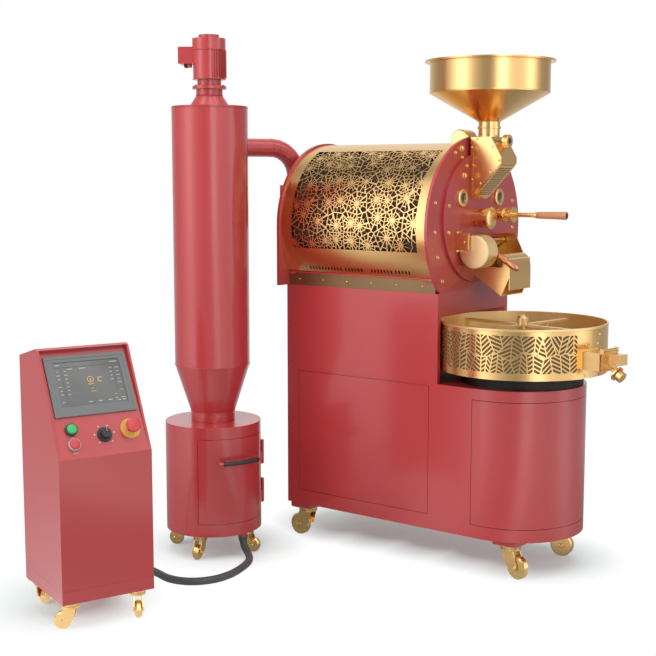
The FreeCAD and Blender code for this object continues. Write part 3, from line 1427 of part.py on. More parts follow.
# Cyclone: a rolled body with its cone and a tangential inlet, a lid, and the fan on top
def make_cyclone_body():
    inner = "body_radius - body_wall"
    shell = turned("cyclone_shell", (
        ("collar_radius - body_wall", "base_top + seat_gap"),
        ("collar_radius", "base_top + seat_gap"),
        ("collar_radius", "collar_top"),
        ("body_radius", "body_seam"),
        ("body_radius", "body_top"),
        (inner, "body_top"),
        (inner, "body_seam"),
        ("collar_radius - body_wall", "collar_top"),
    ))
    room = cylinder("cyclone_room", inner, "body_top - body_seam", ("0", "0", "body_seam"))
    inlet_at = ("0", TANGENT, "duct_height")
    inlet_out = cylinder("inlet_outer", "duct_radius", "stub_length", inlet_at, ALONG_X)
    inlet_flange = cylinder("inlet_flange", "duct_radius + stub_flange", "stub_flange_thick",
                            ("stub_length - stub_flange_thick", TANGENT, "duct_height"), ALONG_X)
    flue_out = turned_about_z("flue_outer", cylinder(
        "flue_tube", "flue_radius", "body_radius + flue_length", ("0", "0", "flue_height"),
        ALONG_X), "flue_turn")
    flue_ring = turned_about_z("flue_ring", cylinder(
        "flue_ring_disc", "flue_radius + flue_ring_rim", "body_radius / 2 + flue_ring_reach",
        ("body_radius / 2", "0", "flue_height"), ALONG_X), "flue_turn")
    stubs = cut("cyclone_stubs",
                joined("stub_solid", [inlet_out, inlet_flange, flue_out, flue_ring]), [room])
    inlet_bore = cylinder("inlet_bore", "duct_radius - duct_wall", "stub_length + cut_over",
                          inlet_at, ALONG_X)
    flue_bore = turned_about_z("flue_bore", cylinder(
        "flue_hole", "flue_radius - body_wall", "body_radius + flue_length + cut_over",
        ("0", "0", "flue_height"), ALONG_X), "flue_turn")
    body = cut("cyclone_body", joined("cyclone_solid", [shell, stubs]), [inlet_bore, flue_bore])
    return cyclone("cyclone_body", body, ("0", "0", "0"), ABOUT_Z, DUCT_TURN)


def make_cyclone_lid():
    lid = turned("cyclone_lid", (
        ("lid_bore", "body_top + seat_gap"),
        ("body_radius", "body_top + seat_gap"),
        ("body_radius", "body_top + lid_thick"),
        ("frustum_radius", "body_top + lid_thick"),
        ("frustum_neck", "frustum_top"),
        ("frustum_neck", "lid_flange_low"),
        ("lid_flange_radius", "lid_flange_low"),
        ("lid_flange_radius", "lid_flange_top"),
        ("lid_bore", "lid_flange_top"),
    ))
    return cyclone("cyclone_lid", lid)


def make_fan_motor():
    body = turned("fan_motor_body", (
        ("0", "lid_flange_top + seat_gap"),
        ("motor_neck_radius", "lid_flange_top + seat_gap"),
        ("motor_neck_radius", "motor_low"),
        ("motor_radius", "motor_low"),
        ("motor_radius", "cowl_low"),
        ("cowl_radius", "cowl_low"),
        ("cowl_radius", "motor_top"),
        ("motor_cap_radius", "motor_top"),
        ("motor_cap_radius", "motor_cap_top"),
        ("0", "motor_cap_top"),
    ))
    terminals = turned_about_z("terminal_turned", box(
        "terminal_box", ("terminal_reach", "2 * terminal_half", "terminal_top - terminal_low"),
        ("0", "-terminal_half", "terminal_low")), "terminal_turn")
    gland = turned_about_z("terminal_gland_turned", cylinder(
        "terminal_gland", "fan_shaft_radius", "terminal_half / 2",
        ("terminal_reach - terminal_half", "0", "terminal_low - terminal_half / 3")),
        "terminal_turn")
    bore = cylinder("motor_bore", "fan_shaft_radius + run_gap", "fan_shaft_top + seat_gap",
                    ("0", "0", "0"))
    solid = joined("fan_motor_solid", [body, terminals, gland])
    return cyclone("fan_motor", cut("fan_motor", solid, [bore]))


def make_fan_impeller():
    shaft = cylinder("fan_shaft", "fan_shaft_radius", "fan_shaft_top - fan_shaft_low",
                     ("0", "0", "fan_shaft_low"))
    hub = cylinder("fan_hub", "fan_hub_radius", "fan_blade_height + fan_disc_thick",
                   ("0", "0", "fan_disc_height - fan_blade_height"))
    disc = cylinder("fan_disc", "fan_radius", "fan_disc_thick", ("0", "0", "fan_disc_height"))
    blades = []
    for number in range(8):
        blade = box(f"fan_blade_{number}", ("fan_radius - fan_hub_radius / 2", "fan_blade_thick",
                                            "fan_blade_height"),
                    ("fan_hub_radius / 2", "-fan_blade_thick / 2",
                     "fan_disc_height - fan_blade_height"))
        blades.append(turned_about_z(f"fan_blade_set_{number}", blade, f"{number * 45} deg"))
    trim = cylinder("fan_trim", "fan_radius", "fan_blade_height + fan_disc_thick",
                    ("0", "0", "fan_disc_height - fan_blade_height"))
    wheel = shared("fan_wheel", [joined("fan_wheel_solid", [hub, disc] + blades), trim])
    return cyclone("fan_impeller", joined("fan_impeller", [shaft, wheel]))


# Chaff box under the cyclone, with its curved door; modelled with the hinge on +X
BASE_HINGE = ("base_radius + knuckle_radius + seat_gap", "-panel_gap / 2", "0")


def base_sector(name, radius, low, high, span):
    """A pie-shaped block that ends at the hinge's edge."""
    sector = cylinder(name, radius, f"{high} - ({low})", ("0", "0", low), ABOUT_Z, span)
    bind(sector, "Placement.Rotation.Angle", f"-({span})")
    return sector


def upright_knuckles(name, barrels):
    """Hinge barrels turned so that their leaves lie on the round wall."""
    return place(group(name, barrels), BASE_HINGE, ABOUT_Z, "-90 deg")


def make_cyclone_base():
    outer = cylinder("base_outer", "base_radius", "base_top - base_low", ("0", "0", "base_low"))
    inner = cylinder("base_inner", "base_radius - sheet_wall",
                     "base_top - base_low - 2 * sheet_wall", ("0", "0", "base_low + sheet_wall"))
    drop_hole = cylinder("base_drop_hole", "collar_radius - body_wall",
                         "sheet_wall + 2 * cut_over", ("0", "0", "base_top - sheet_wall - cut_over"))
    opening = base_sector("base_opening", "base_radius + cut_over", "base_door_low - panel_gap",
                          "base_door_top + panel_gap", "base_door_span")
    shell = cut("base_shell", outer, [inner, drop_hole, opening])
    stops = []
    for number, height in enumerate(("base_door_low", "base_door_top")):
        stops.append(turned(f"base_stop_{number}", (
            ("base_radius - 2 * sheet_wall - seat_gap", f"{height} - door_stop"),
            ("base_radius - sheet_wall - seat_gap", f"{height} - door_stop"),
            ("base_radius - sheet_wall - seat_gap", f"{height} + door_stop"),
            ("base_radius - 2 * sheet_wall - seat_gap", f"{height} + door_stop"),
        )))
    webs = []
    for number, low in enumerate(("base_door_low - door_stop", "base_door_top + panel_gap")):
        webs.append(turned(f"base_web_{number}", (
            ("base_radius - 2 * sheet_wall", low),
            ("base_radius - sheet_wall / 2", low),
            ("base_radius - sheet_wall / 2", f"{low} + door_stop - panel_gap"),
            ("base_radius - 2 * sheet_wall", f"{low} + door_stop - panel_gap"),
        )))
    fixed = upright_knuckles("base_knuckles", cabinet_knuckles("base_hinge", "base_door_low",
                                                               "base_door_top"))
    gland = cylinder("base_gland", "gland_radius", "gland_length + sheet_wall / 2",
                     GLAND_AT, UP)
    solid = joined("base_solid", [shell, fixed, gland] + stops + webs)
    return cyclone("cyclone_base", group("cyclone_base", [solid]), ("0", "0", "0"), ABOUT_Z,
                   "base_door_turn")


GLAND_AT = ("gland_x", "-gland_y", "base_low - gland_length")


def make_base_door():
    outer = base_sector("base_door_outer", "base_radius", "base_door_low", "base_door_top",
                        "base_door_span")
    inner = cylinder("base_door_inner", "base_radius - sheet_wall", "base_top", ("0", "0", "0"))
    skin = cut("base_door_cut", outer, [inner])
    trim_size = ("2 * base_radius", "panel_gap", "base_top")
    hinge_trim = box("base_door_hinge_trim", trim_size, ("0", "-panel_gap", "0"))
    free_trim = turned_about_z("base_door_free_trim", box(
        "base_door_free_box", trim_size, ("0", "0", "0")), "-base_door_span")
    skin = cut("base_door_skin", skin, [hinge_trim, free_trim])
    barrels = upright_knuckles("base_door_barrels", door_knuckles("base_door_hinge",
                                                                  "base_door_low",
                                                                  "base_door_top"))
    bow = torus("bow_bar", "base_radius + bow_reach", "bow_radius", "bow_span",
                ("0", "0", "bow_height"), ABOUT_Z)
    bind(bow, "Placement.Rotation.Angle", "-bow_start")
    posts = []
    for number, turn in enumerate(("-bow_start", "-bow_start + bow_span")):
        post = cylinder(f"bow_post_{number}", "bow_radius", "bow_reach + sheet_wall / 2",
                        ("base_radius - sheet_wall / 2", "0", "bow_height"), ALONG_X)
        knee = doc.addObject("Part::Sphere", f"bow_knee_{number}")
        bind(knee, "Radius", "bow_radius")
        place(knee, ("base_radius + bow_reach", "0", "bow_height"))
        posts.append(place(united(f"bow_post_set_{number}", [post, knee]), ("0", "0", "0"),
                           ABOUT_Z, turn))
    door = joined("base_door_solid", [skin, barrels, bow] + posts)
    return cyclone("base_door", group("base_door", [door]), ("0", "0", "0"), ABOUT_Z,
                   "base_door_turn")


# Console: a folded sheet body with a sunk sloping face, its plinth and its controls
def face_set(name, pieces):
    """Pieces laid out on the sloping face: X across, Y up the slope, Z out of it."""
    return place(united(name, pieces), ("0", "0", "fold_height"), ABOUT_X, "face_tilt")


def make_console_body():
    profile = (
        ("0", "plinth_top + seat_gap"),
        ("desk_depth", "plinth_top + seat_gap"),
        ("desk_depth", "desk_back_top"),
        ("crest_depth", "crest_height"),
        ("brow_depth", "brow_height"),
        ("0", "fold_height"),
    )
    outer = prism("desk_outer", "YZ_Plane", profile, "desk_width")
    sunk = prism("desk_sunk", "YZ_Plane", (
        ("0", "fold_height"),
        ("recess_depth", "recess_height"),
        ("brow_depth", "brow_height"),
        ("-cut_over", "fold_height"),
    ), "desk_width - 2 * cheek_wall", ("cheek_wall", "0", "0"))
    room = prism("desk_room", "YZ_Plane", (
        ("sheet_wall", "plinth_top - cut_over"),
        ("desk_depth - sheet_wall", "plinth_top - cut_over"),
        ("desk_depth - sheet_wall", "desk_back_top - sheet_wall"),
        ("recess_depth + sheet_wall", "recess_height - sheet_wall"),
        ("sheet_wall", "fold_height - sheet_wall"),
    ), "desk_width - 2 * sheet_wall", ("sheet_wall", "0", "0"))
    holes = []
    for name, x_at, y_at, radius in (
        ("start", "button_left", "start_up", "stem_radius"),
        ("stop", "button_left", "stop_up", "stem_radius"),
        ("knob", "knob_left", "knob_up", "stem_radius"),
        ("estop", "estop_left", "estop_up", "estop_stem_radius"),
    ):
        holes.append(cylinder(f"{name}_hole", f"{radius} + run_gap", "6 * cut_over",
                              (x_at, y_at, "-3 * cut_over")))
    shell = cut("desk_shell", outer, [sunk, room, face_set("face_holes", holes)])
    gland = cylinder("desk_gland", "gland_radius", "gland_length + sheet_wall / 2",
                     ("desk_width / 2", "desk_depth - sheet_wall / 2", "desk_gland_height"),
                     ALONG_Y)
    return console("console_body", joined("console_body", [shell, gland]))


def make_console_plinth():
    size = ("desk_width", "desk_depth", "plinth_top - desk_low")
    outer = box("plinth_outer", size, ("0", "0", "desk_low"))
    inner = box("plinth_inner", ("desk_width - 2 * sheet_wall", "desk_depth - 2 * sheet_wall",
                                 "plinth_top - desk_low"),
                ("sheet_wall", "sheet_wall", "desk_low + sheet_wall"))
    return console("console_plinth", cut("console_plinth", outer, [inner]))


def make_touch_screen():
    size = ("screen_width", "screen_length", "screen_proud")
    frame = box("screen_frame", size, ("screen_left", "screen_low", "seat_gap"))
    sunk = box("screen_sunk", ("screen_width - 2 * screen_edge", "screen_length - 2 * screen_edge",
                               "screen_proud"),
               ("screen_left + screen_edge", "screen_low + screen_edge",
                "seat_gap + screen_proud - screen_glass_drop"))
    panel = cut("screen_panel", frame, [sunk])
    return console("touch_screen", group("touch_screen", [face_set("screen_set", [panel])]))


def push_button(label, x_at, y_at):
    """A sprung button: a cap over its stem in the face."""
    cap = turned(label + "_cap", (
        ("0", "-stem_length"),
        ("stem_radius", "-stem_length"),
        ("stem_radius", "button_lift"),
        ("button_radius", "button_lift"),
        ("button_radius", "button_lift + button_height * 0.8"),
        ("button_radius * 0.85", "button_lift + button_height"),
        ("0", "button_lift + button_height"),
    ), (x_at, y_at, "0"))
    return console(label, group(label, [face_set(label + "_set", [cap])]))


def make_selector_knob():
    body = turned("knob_body", (
        ("0", "-stem_length"),
        ("stem_radius", "-stem_length"),
        ("stem_radius", "seat_gap"),
        ("knob_skirt_radius", "seat_gap"),
        ("knob_skirt_radius", "knob_skirt_height"),
        ("knob_radius", "knob_skirt_height + seat_gap"),
        ("knob_radius * 0.9", "knob_skirt_height + knob_height"),
        ("0", "knob_skirt_height + knob_height"),
    ), ("knob_left", "knob_up", "0"))
    pointer = box("knob_pointer_bar", ("knob_pointer", "knob_radius", "knob_height"),
                  ("knob_left - knob_pointer / 2", "knob_up", "knob_skirt_height + knob_pointer / 2"))
    knob = joined("knob_solid", [body, pointer])
    return console("selector_knob", group("selector_knob", [face_set("knob_set", [knob])]))


def make_estop_head():
    head = turned("estop_body", (
        ("0", "-stem_length"),
        ("estop_stem_radius", "-stem_length"),
        ("estop_stem_radius", "estop_lift"),
        ("estop_radius * 0.9", "estop_lift"),
        ("estop_radius", "estop_lift + estop_height * 0.3"),
        ("estop_radius", "estop_lift + estop_height * 0.6"),
        ("estop_radius * 0.7", "estop_lift + estop_height"),
        ("0", "estop_lift + estop_height"),
    ), ("estop_left", "estop_up", "0"))
    return console("estop_head", group("estop_head", [face_set("estop_set", [head])]))


# Castors: a fixed plate with its race and kingpin, a fork that swivels, and a wheel
def castor_head(name, kind, at):
    plate = box(name + "_plate", (f"{kind}_plate", f"{kind}_plate", "castor_plate"),
                (f"{at[0]} - {kind}_plate / 2", f"{at[1]} - {kind}_plate / 2",
                 f"{kind}_height - castor_plate - seat_gap"))
    race = cylinder(name + "_race", f"{kind}_plate * 0.38", "race_drop",
                    (at[0], at[1], f"{kind}_height - castor_plate - seat_gap - race_drop"))
    pin = cylinder(name + "_kingpin", "kingpin_radius", "race_drop + 2 * fork_thick",
                   (at[0], at[1], f"{kind}_height - castor_plate - seat_gap - race_drop"
                    " - 2 * fork_thick"))
    return joined(name + "_head", [plate, race, pin])


def castor_fork(name, kind):
    """The fork about its swivel axis, with its legs trailing towards +X, and its axle."""
    crown_top = f"({kind}_height - castor_plate - race_drop - 2 * seat_gap)"
    crown = cylinder(name + "_crown", f"{kind}_plate * 0.4", "2 * fork_thick",
                     ("0", "0", f"{crown_top} - 2 * fork_thick"))
    hole = cylinder(name + "_hole", "kingpin_radius + run_gap", f"{kind}_height",
                    ("0", "0", f"{kind}_wheel * 2"))
    legs = []
    span = f"({kind}_width / 2 + wheel_side_gap)"
    reach = f"{kind}_plate * 0.3"
    for side, y_at in (("left", span), ("right", f"-{span} - fork_thick")):
        legs.append(prism(f"{name}_leg_{side}", "XZ_Plane", (
            (f"-({reach})", f"{crown_top} - 1.5 * fork_thick"),
            (f"-({reach}) / 2", f"{kind}_wheel * 1.2"),
            (f"{kind}_trail - 2 * {kind}_axle", f"{kind}_wheel - 1.6 * {kind}_axle"),
            (f"{kind}_trail + 2 * {kind}_axle", f"{kind}_wheel - 1.6 * {kind}_axle"),
            (f"{kind}_trail + 2 * {kind}_axle", f"{kind}_wheel + 2 * {kind}_axle"),
            (reach, f"{crown_top} - 1.5 * fork_thick"),
        ), "fork_thick", ("0", y_at, "0")))
    axle = cylinder(name + "_axle", f"{kind}_axle", f"2 * ({span} + 2 * fork_thick)",
                    (f"{kind}_trail", f"-{span} - 2 * fork_thick", f"{kind}_wheel"), ALONG_Y)
    body = joined(name + "_fork_solid", [crown, axle] + legs)
    return cut(name + "_fork_bored", body, [hole])


def castor_wheel(name, kind):
    """The wheel on its axle's bore, with rounded tread edges."""
    half = f"({kind}_width / 2)"
    return turned(name + "_tyre", (
        (f"{kind}_axle + run_gap", f"-{half}"),
        (f"{kind}_wheel - tread_round", f"-{half}"),
        (f"{kind}_wheel", f"-{half} + tread_round"),
        (f"{kind}_wheel", f"{half} - tread_round"),
        (f"{kind}_wheel - tread_round", half),
        (f"{kind}_axle + run_gap", half),
    ), (f"{kind}_trail", "0", f"{kind}_wheel"), ALONG_Y)


def console_corner(across, deep):
    """A point of the console's plan, in the roaster's frame."""
    x_at = f"(-console_back + ({across}) * cos(console_turn * 1 deg) - ({deep}) * sin(console_turn * 1 deg))"
    y_at = f"(-console_side + ({across}) * sin(console_turn * 1 deg) + ({deep}) * cos(console_turn * 1 deg))"
    return x_at, y_at


def small_castors():
    """Name, place in the roaster's frame and trail direction of the eight small castors."""
    places = []
    for number in range(4):
        turn = f"(ring_castor_turn * 1 deg + {number * 90} deg)"
        places.append((f"cyclone_castor_{number + 1}",
                       f"(-cyclone_back + ring_castor_radius * cos({turn}))",
                       f"(-cyclone_side + ring_castor_radius * sin({turn}))", turn))
    inset = "desk_castor_inset"
    corners = (
        ("near", inset, inset, "desk_near_turn"),
        ("right", f"desk_width - {inset}", inset, "desk_right_turn"),
        ("far", f"desk_width - {inset}", f"desk_depth - {inset}", "desk_far_turn"),
        ("left", inset, f"desk_depth - {inset}", "desk_left_turn"),
    )
    for number, (name, across, deep, turn) in enumerate(corners, start=1):
        x_at, y_at = console_corner(across, deep)
        places.append((f"console_castor_{number}", x_at, y_at, f"{turn} * 1 deg"))
    return places


def make_castors():
    heads = []
    for name, x_at, y_at, turn in roaster_castors():
        heads.append(castor_head(name, "large", (x_at, y_at)))
    for name, x_at, y_at, turn in small_castors():
        heads.append(castor_head(name, "small", (x_at, y_at)))
    roaster("castor_plates", group("castor_plates", heads))
    for name, x_at, y_at, turn in roaster_castors():
        angle = f"{turn} * 1 deg"
        for kind, piece in (("fork", castor_fork(name, "large")),
                            ("wheel", castor_wheel(name, "large"))):
            moved = turned_about_z(f"{name}_{kind}_turned", piece, angle, (x_at, y_at, "0"))
            roaster(f"{name}_{kind}", group(f"{name}_{kind}", [moved]))
    for name, x_at, y_at, turn in small_castors():
        pieces = [castor_fork(name, "small"), castor_wheel(name, "small")]
        moved = place(group(name + "_turned", pieces), (x_at, y_at, "0"), ABOUT_Z, turn)
        roaster(name, group(name + "_node", [moved]))


# Conduit hose from the console's back, along the floor, up into the chaff box's gland
def hose_points():
    """The route's points: both ends from the glands, the rest by hand from the tray's axis."""
    turn = amount("console_turn")
    desk = FreeCAD.Placement(Vector(amount("roaster_x - console_back"),
                                    amount("roaster_y - console_side"), 0),
                             FreeCAD.Rotation(Vector(0, 0, 1), turn))
    start = desk.multVec(Vector(amount("desk_width / 2"),
                                amount("desk_depth + gland_length + gland_gap"),
                                amount("desk_gland_height")))
    base = FreeCAD.Placement(Vector(amount("roaster_x - cyclone_back"),
                                    amount("roaster_y - cyclone_side"), 0),
                             FreeCAD.Rotation(Vector(0, 0, 1), amount("base_door_turn")))
    end = base.multVec(Vector(amount("gland_x"), amount("-gland_y"),
                              amount("base_low - gland_length - gland_gap")))
    tray_axis = Vector(amount("roaster_x"), amount("roaster_y"), 0)
    route = [tray_axis + Vector(*point) for point in HOSE_ROUTE]
    return [start] + route + [end]


HOSE_ROUTE = (
    (-974.0, -1079.4, 150.0),
    (-1017.0, -1040.0, 116.0),
    (-1037.0, -980.0, 56.0),
    (-1021.0, -908.0, 16.0),
    (-973.0, -842.0, 12.5),
    (-905.0, -806.0, 12.5),
    (-831.0, -821.0, 12.5),
    (-757.0, -844.0, 12.5),
    (-685.0, -820.0, 12.5),
    (-643.0, -758.0, 12.5),
    (-639.0, -684.0, 12.5),
    (-657.0, -612.0, 12.5),
    (-681.0, -554.0, 12.5),
    (-714.0, -516.0, 14.5),
    (-743.0, -500.0, 26.0),
    (-763.0, -492.0, 44.0),
)


def tangent_tube(name, points, radius):
    """A tube of straight runs joined by the largest tangent arcs that the runs allow."""
    edges = []
    radii = []
    start = points[0]
    for before, corner, after in zip(points, points[1:], points[2:]):
        into = (corner - before).normalize()
        out = (after - corner).normalize()
        half_turn = into.getAngle(out) / 2
        setback = 0.45 * min((corner - before).Length, (after - corner).Length)
        bend = setback / math.tan(half_turn)
        radii.append((round(bend, 1), round(math.degrees(2 * half_turn), 1)))
        first = corner - into * setback
        last = corner + out * setback
        inward = (out - into).normalize()
        middle = corner + inward * (bend / math.cos(half_turn) - bend)
        edges.append(Part.LineSegment(start, first).toShape())
        edges.append(Part.Arc(first, middle, last).toShape())
        start = last
    edges.append(Part.LineSegment(start, points[-1]).toShape())
    path = Part.Wire(edges)
    ring = Part.Wire([Part.makeCircle(radius, points[0], points[1] - points[0])])
    tube = path.makePipeShell([ring], True, False)
    print("hose radii and turns", radii)
    print("hose length", round(path.Length, 1), "volume ratio",
          round(tube.Volume / (path.Length * math.pi * radius ** 2), 5))
    obj = doc.addObject("Part::Feature", name)
    obj.Shape = tube
    return obj


def make_conduit_hose():
    points = hose_points()
    nodes.append(tangent_tube("conduit_hose", points, amount("hose_radius")))


make_base_cabinet()
make_side_panels()
make_front_door()
make_burner_cabinet()
make_gas_burner()
make_rear_plate()
make_front_plate()
make_drum_cover()
make_cover_rails()
make_drum()
make_drum_gearmotor()
make_front_bearing()
make_sight_glasses()
make_trier_guide()
make_trier()
make_trier_handle()
make_hopper()
make_feed_chute()
make_feed_gate()
make_discharge_chute()
make_discharge_door()
make_discharge_grip()
make_discharge_weight()
make_tray_base()
make_cooling_tray()
make_tray_floor()
make_stirrer()
make_tray_gate()
make_exhaust_duct()
make_cyclone_body()
make_cyclone_lid()
make_fan_motor()
make_fan_impeller()
make_cyclone_base()
make_base_door()
make_console_body()
make_console_plinth()
make_touch_screen()
push_button("start_button", "button_left", "start_up")
push_button("stop_button", "button_left", "stop_up")
make_selector_knob()
make_estop_head()
make_castors()
make_conduit_hose()
doc.recompute()

failed = [obj.Name for obj in doc.Objects if "Invalid" in obj.State or "Error" in obj.State]
if failed:
    raise RuntimeError("failed objects: " + ", ".join(failed))
for node in nodes:
    if node.Shape.isNull() or not node.Shape.isValid() or not node.Shape.Solids:
        raise RuntimeError("bad shape: " + node.Label)

os.makedirs("parts", exist_ok=True)
whole = FreeCAD.BoundBox()
for node in nodes:
    node.Shape.exportStep(os.path.join("parts", node.Label + ".step"))
    if node.Label != "conduit_hose":
        whole.add(node.Shape.BoundBox)
print(len(nodes), "nodes, box", whole)
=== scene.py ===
import math
import random

import bmesh
import bpy
from mathutils import Matrix, Vector
from mathutils.geometry import delaunay_2d_cdt


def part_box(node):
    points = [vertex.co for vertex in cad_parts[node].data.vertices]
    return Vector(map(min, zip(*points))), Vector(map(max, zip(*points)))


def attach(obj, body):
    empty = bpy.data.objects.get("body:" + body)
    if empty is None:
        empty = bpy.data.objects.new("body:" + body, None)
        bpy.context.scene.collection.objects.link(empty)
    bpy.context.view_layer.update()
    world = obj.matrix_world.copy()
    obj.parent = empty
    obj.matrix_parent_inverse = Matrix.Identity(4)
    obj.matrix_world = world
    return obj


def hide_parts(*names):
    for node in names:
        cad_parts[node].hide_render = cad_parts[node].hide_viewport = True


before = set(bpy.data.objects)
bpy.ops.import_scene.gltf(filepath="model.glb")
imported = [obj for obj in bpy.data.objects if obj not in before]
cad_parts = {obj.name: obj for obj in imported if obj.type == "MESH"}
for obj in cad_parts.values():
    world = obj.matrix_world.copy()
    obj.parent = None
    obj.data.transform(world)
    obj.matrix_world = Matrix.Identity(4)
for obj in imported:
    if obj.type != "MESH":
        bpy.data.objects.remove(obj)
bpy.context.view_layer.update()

# The viewpoint: a long lens at chest height in front of the roaster's near corner,
# turned towards the cyclone and looking a little down.
bpy.ops.object.select_all(action="DESELECT")
look_turn = 37.131
look_down = 7.022
bpy.ops.object.camera_add(location=(2.18784, -2.95382, 1.24924),
                          rotation=(math.radians(90 - look_down), 0, math.radians(look_turn)))
camera = bpy.context.object
camera.name = "viewpoint"
camera.data.lens = 67.2
camera.data.sensor_width = 36
camera.data.clip_end = 80
bpy.context.scene.camera = camera


# The conduit hose: one smooth rubber-covered hose that leaves the console's back, lies on
# the floor in a long double curve and rises into the gland under the chaff box.
class Level:
    """A value among a tree's nodes. Sums written with it add Math nodes."""

    def __init__(self, nodes, socket):
        self.nodes = nodes
        self.socket = socket

    def math(self, operation, first, second=0.0):
        return self.nodes.node("ShaderNodeMath", {"operation": operation}, {0: first, 1: second})

    def __add__(self, other):
        return self.math("ADD", self, other)

    __radd__ = __add__

    def __sub__(self, other):
        return self.math("SUBTRACT", self, other)

    def __rsub__(self, other):
        return self.math("SUBTRACT", other, self)

    def __mul__(self, other):
        return self.math("MULTIPLY", self, other)

    __rmul__ = __mul__

    def __pow__(self, other):
        return self.math("POWER", self, other)


class Nodes:
    """A node tree that is written as plain calls and sums."""

    def __init__(self, tree):
        self.tree = tree

    def feed(self, socket, value):
        if isinstance(value, Level):
            self.tree.links.new(value.socket, socket)
        elif hasattr(value, "__len__") and len(value) == 3 and socket.type == "RGBA":
            socket.default_value = (*value, 1)
        else:
            socket.default_value = value

    def node(self, kind, settings, inputs, output=0):
        added = self.tree.nodes.new(kind)
        for name, value in settings.items():
            setattr(added, name, value)
        for name, value in inputs.items():
            self.feed(added.inputs[name], value)
        return Level(self, added.outputs[output])

    def noise(self, scale, detail=3.0, stretch=(1, 1, 1)):
        """Cloudy tones from the piece's own place, stretched by different scales along X, Y, Z."""
        place = self.node("ShaderNodeTexCoord", {}, {}, "Object")
        scaled = self.node("ShaderNodeMapping", {}, {"Vector": place, "Scale": stretch})
        return self.node("ShaderNodeTexNoise", {}, {"Vector": scaled, "Scale": scale,
                                                    "Detail": detail})

    def step(self, value, low, high):
        """A value's rise from 0 at low to 1 at high."""
        return self.node("ShaderNodeMapRange", {}, {"Value": value, "From Min": low,
                                                    "From Max": high})

    def blend(self, share, first, second):
        """A colour between two colours."""
        return self.node("ShaderNodeMix", {"data_type": "RGBA"}, {0: share, 6: first, 7: second}, 2)


class Finish(Nodes):
    """A material's nodes around its Principled shader."""

    def __init__(self, name):
        self.material = bpy.data.materials.new(name)
        self.material.use_nodes = True
        super().__init__(self.material.node_tree)
        self.shader = self.tree.nodes["Principled BSDF"]

    def give(self, **values):
        """Values for the shader's sockets, named in lower case."""
        for name, value in values.items():
            self.feed(self.shader.inputs[name.replace("_", " ").title()], value)

    def bump(self, height, distance, soft_edge=0.0):
        """A relief of that height in metres where the value is 1, and edges a little rounded."""
        inputs = {"Height": height, "Distance": distance, "Strength": 1.0}
        if soft_edge:
            inputs["Normal"] = self.node("ShaderNodeBevel", {"samples": 4}, {"Radius": soft_edge})
        self.feed(self.shader.inputs["Normal"], self.node("ShaderNodeBump", {}, inputs))


def clouded(name, tones, cloud, rough, grain=None, **others):
    """A finish that wanders between two tones and two roughnesses: cloud is its noise's scale
    and detail, grain another noise's with a relief's height and the edges' rounding."""
    finish = Finish(name)
    share = finish.noise(*cloud)
    finish.give(base_color=finish.blend(share, *tones), **others,
                roughness=rough[0] + share * (rough[1] - rough[0]))
    if grain:
        finish.bump(finish.noise(*grain[:2]), *grain[2:])
    return finish.material


def alone():
    """Nothing selected, so that the next tool works on its own piece."""
    bpy.ops.object.select_all(action="DESELECT")


def drawn(points):
    """A line through points: one point, pulled on from each point to the next."""
    alone()
    bpy.ops.mesh.primitive_plane_add(size=0.01, location=(0, 0, 0))
    bpy.ops.object.mode_set(mode="EDIT")
    bpy.ops.mesh.merge(type="CENTER")
    bpy.ops.transform.translate(value=points[0])
    for here, there in zip(points, points[1:]):
        pull = Vector(there) - Vector(here)
        bpy.ops.mesh.extrude_region_move(TRANSFORM_OT_translate={"value": pull})
    bpy.ops.mesh.select_all(action="SELECT")
    return bpy.context.object


def tidied():
    """Doubles merged and faces turned outwards, and back from edit mode."""
    bpy.ops.mesh.select_all(action="SELECT")
    bpy.ops.mesh.remove_doubles(threshold=0.000001)
    bpy.ops.mesh.normals_make_consistent(inside=False)
    bpy.ops.object.mode_set(mode="OBJECT")
    return bpy.context.object


def turned(profile, sides=40):
    """A form turned about Z as on a lathe, from (radius, height) points."""
    drawn([(radius, 0, height) for radius, height in profile])
    bpy.ops.mesh.spin(steps=sides, angle=math.tau, center=(0, 0, 0), axis=(0, 0, 1))
    return tidied()


def lathe(sides, *profile):
    """A form turned from (radius, height) points in millimetres."""
    return turned([(radius / 1000, height / 1000) for radius, height in profile], sides)


def put(form, at, axis=(0, 0, 1), spin=0.0):
    """Turn a form's Z to an axis and move it to its place."""
    turn = Vector((0, 0, 1)).rotation_difference(Vector(axis)).to_matrix().to_4x4()
    form.matrix_world = Matrix.Translation(at) @ turn @ Matrix.Rotation(spin, 4, "Z")
    return form


def copied(form, places):
    """Copies of a form, each with its own mesh, at places of (point, axis)."""
    twins = []
    for at, axis in places:
        twin = form.copy()
        twin.data = form.data.copy()
        bpy.context.scene.collection.objects.link(twin)
        twins.append(put(twin, at, axis))
    bpy.data.objects.remove(form)
    return twins


def finished(name, forms, material, body, smooth=35):
    """Forms joined as one piece with a finish, riding on a body."""
    alone()
    for form in forms:
        form.select_set(True)
    bpy.context.view_layer.objects.active = forms[0]
    bpy.ops.object.transform_apply(location=True, rotation=True, scale=True)
    if len(forms) > 1:
        bpy.ops.object.join()
    piece = bpy.context.object
    piece.name = name
    piece.data.name = name
    bpy.ops.object.shade_smooth_by_angle(angle=math.radians(smooth))
    piece.data.materials.clear()
    piece.data.materials.append(material)
    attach(piece, body)
    return piece


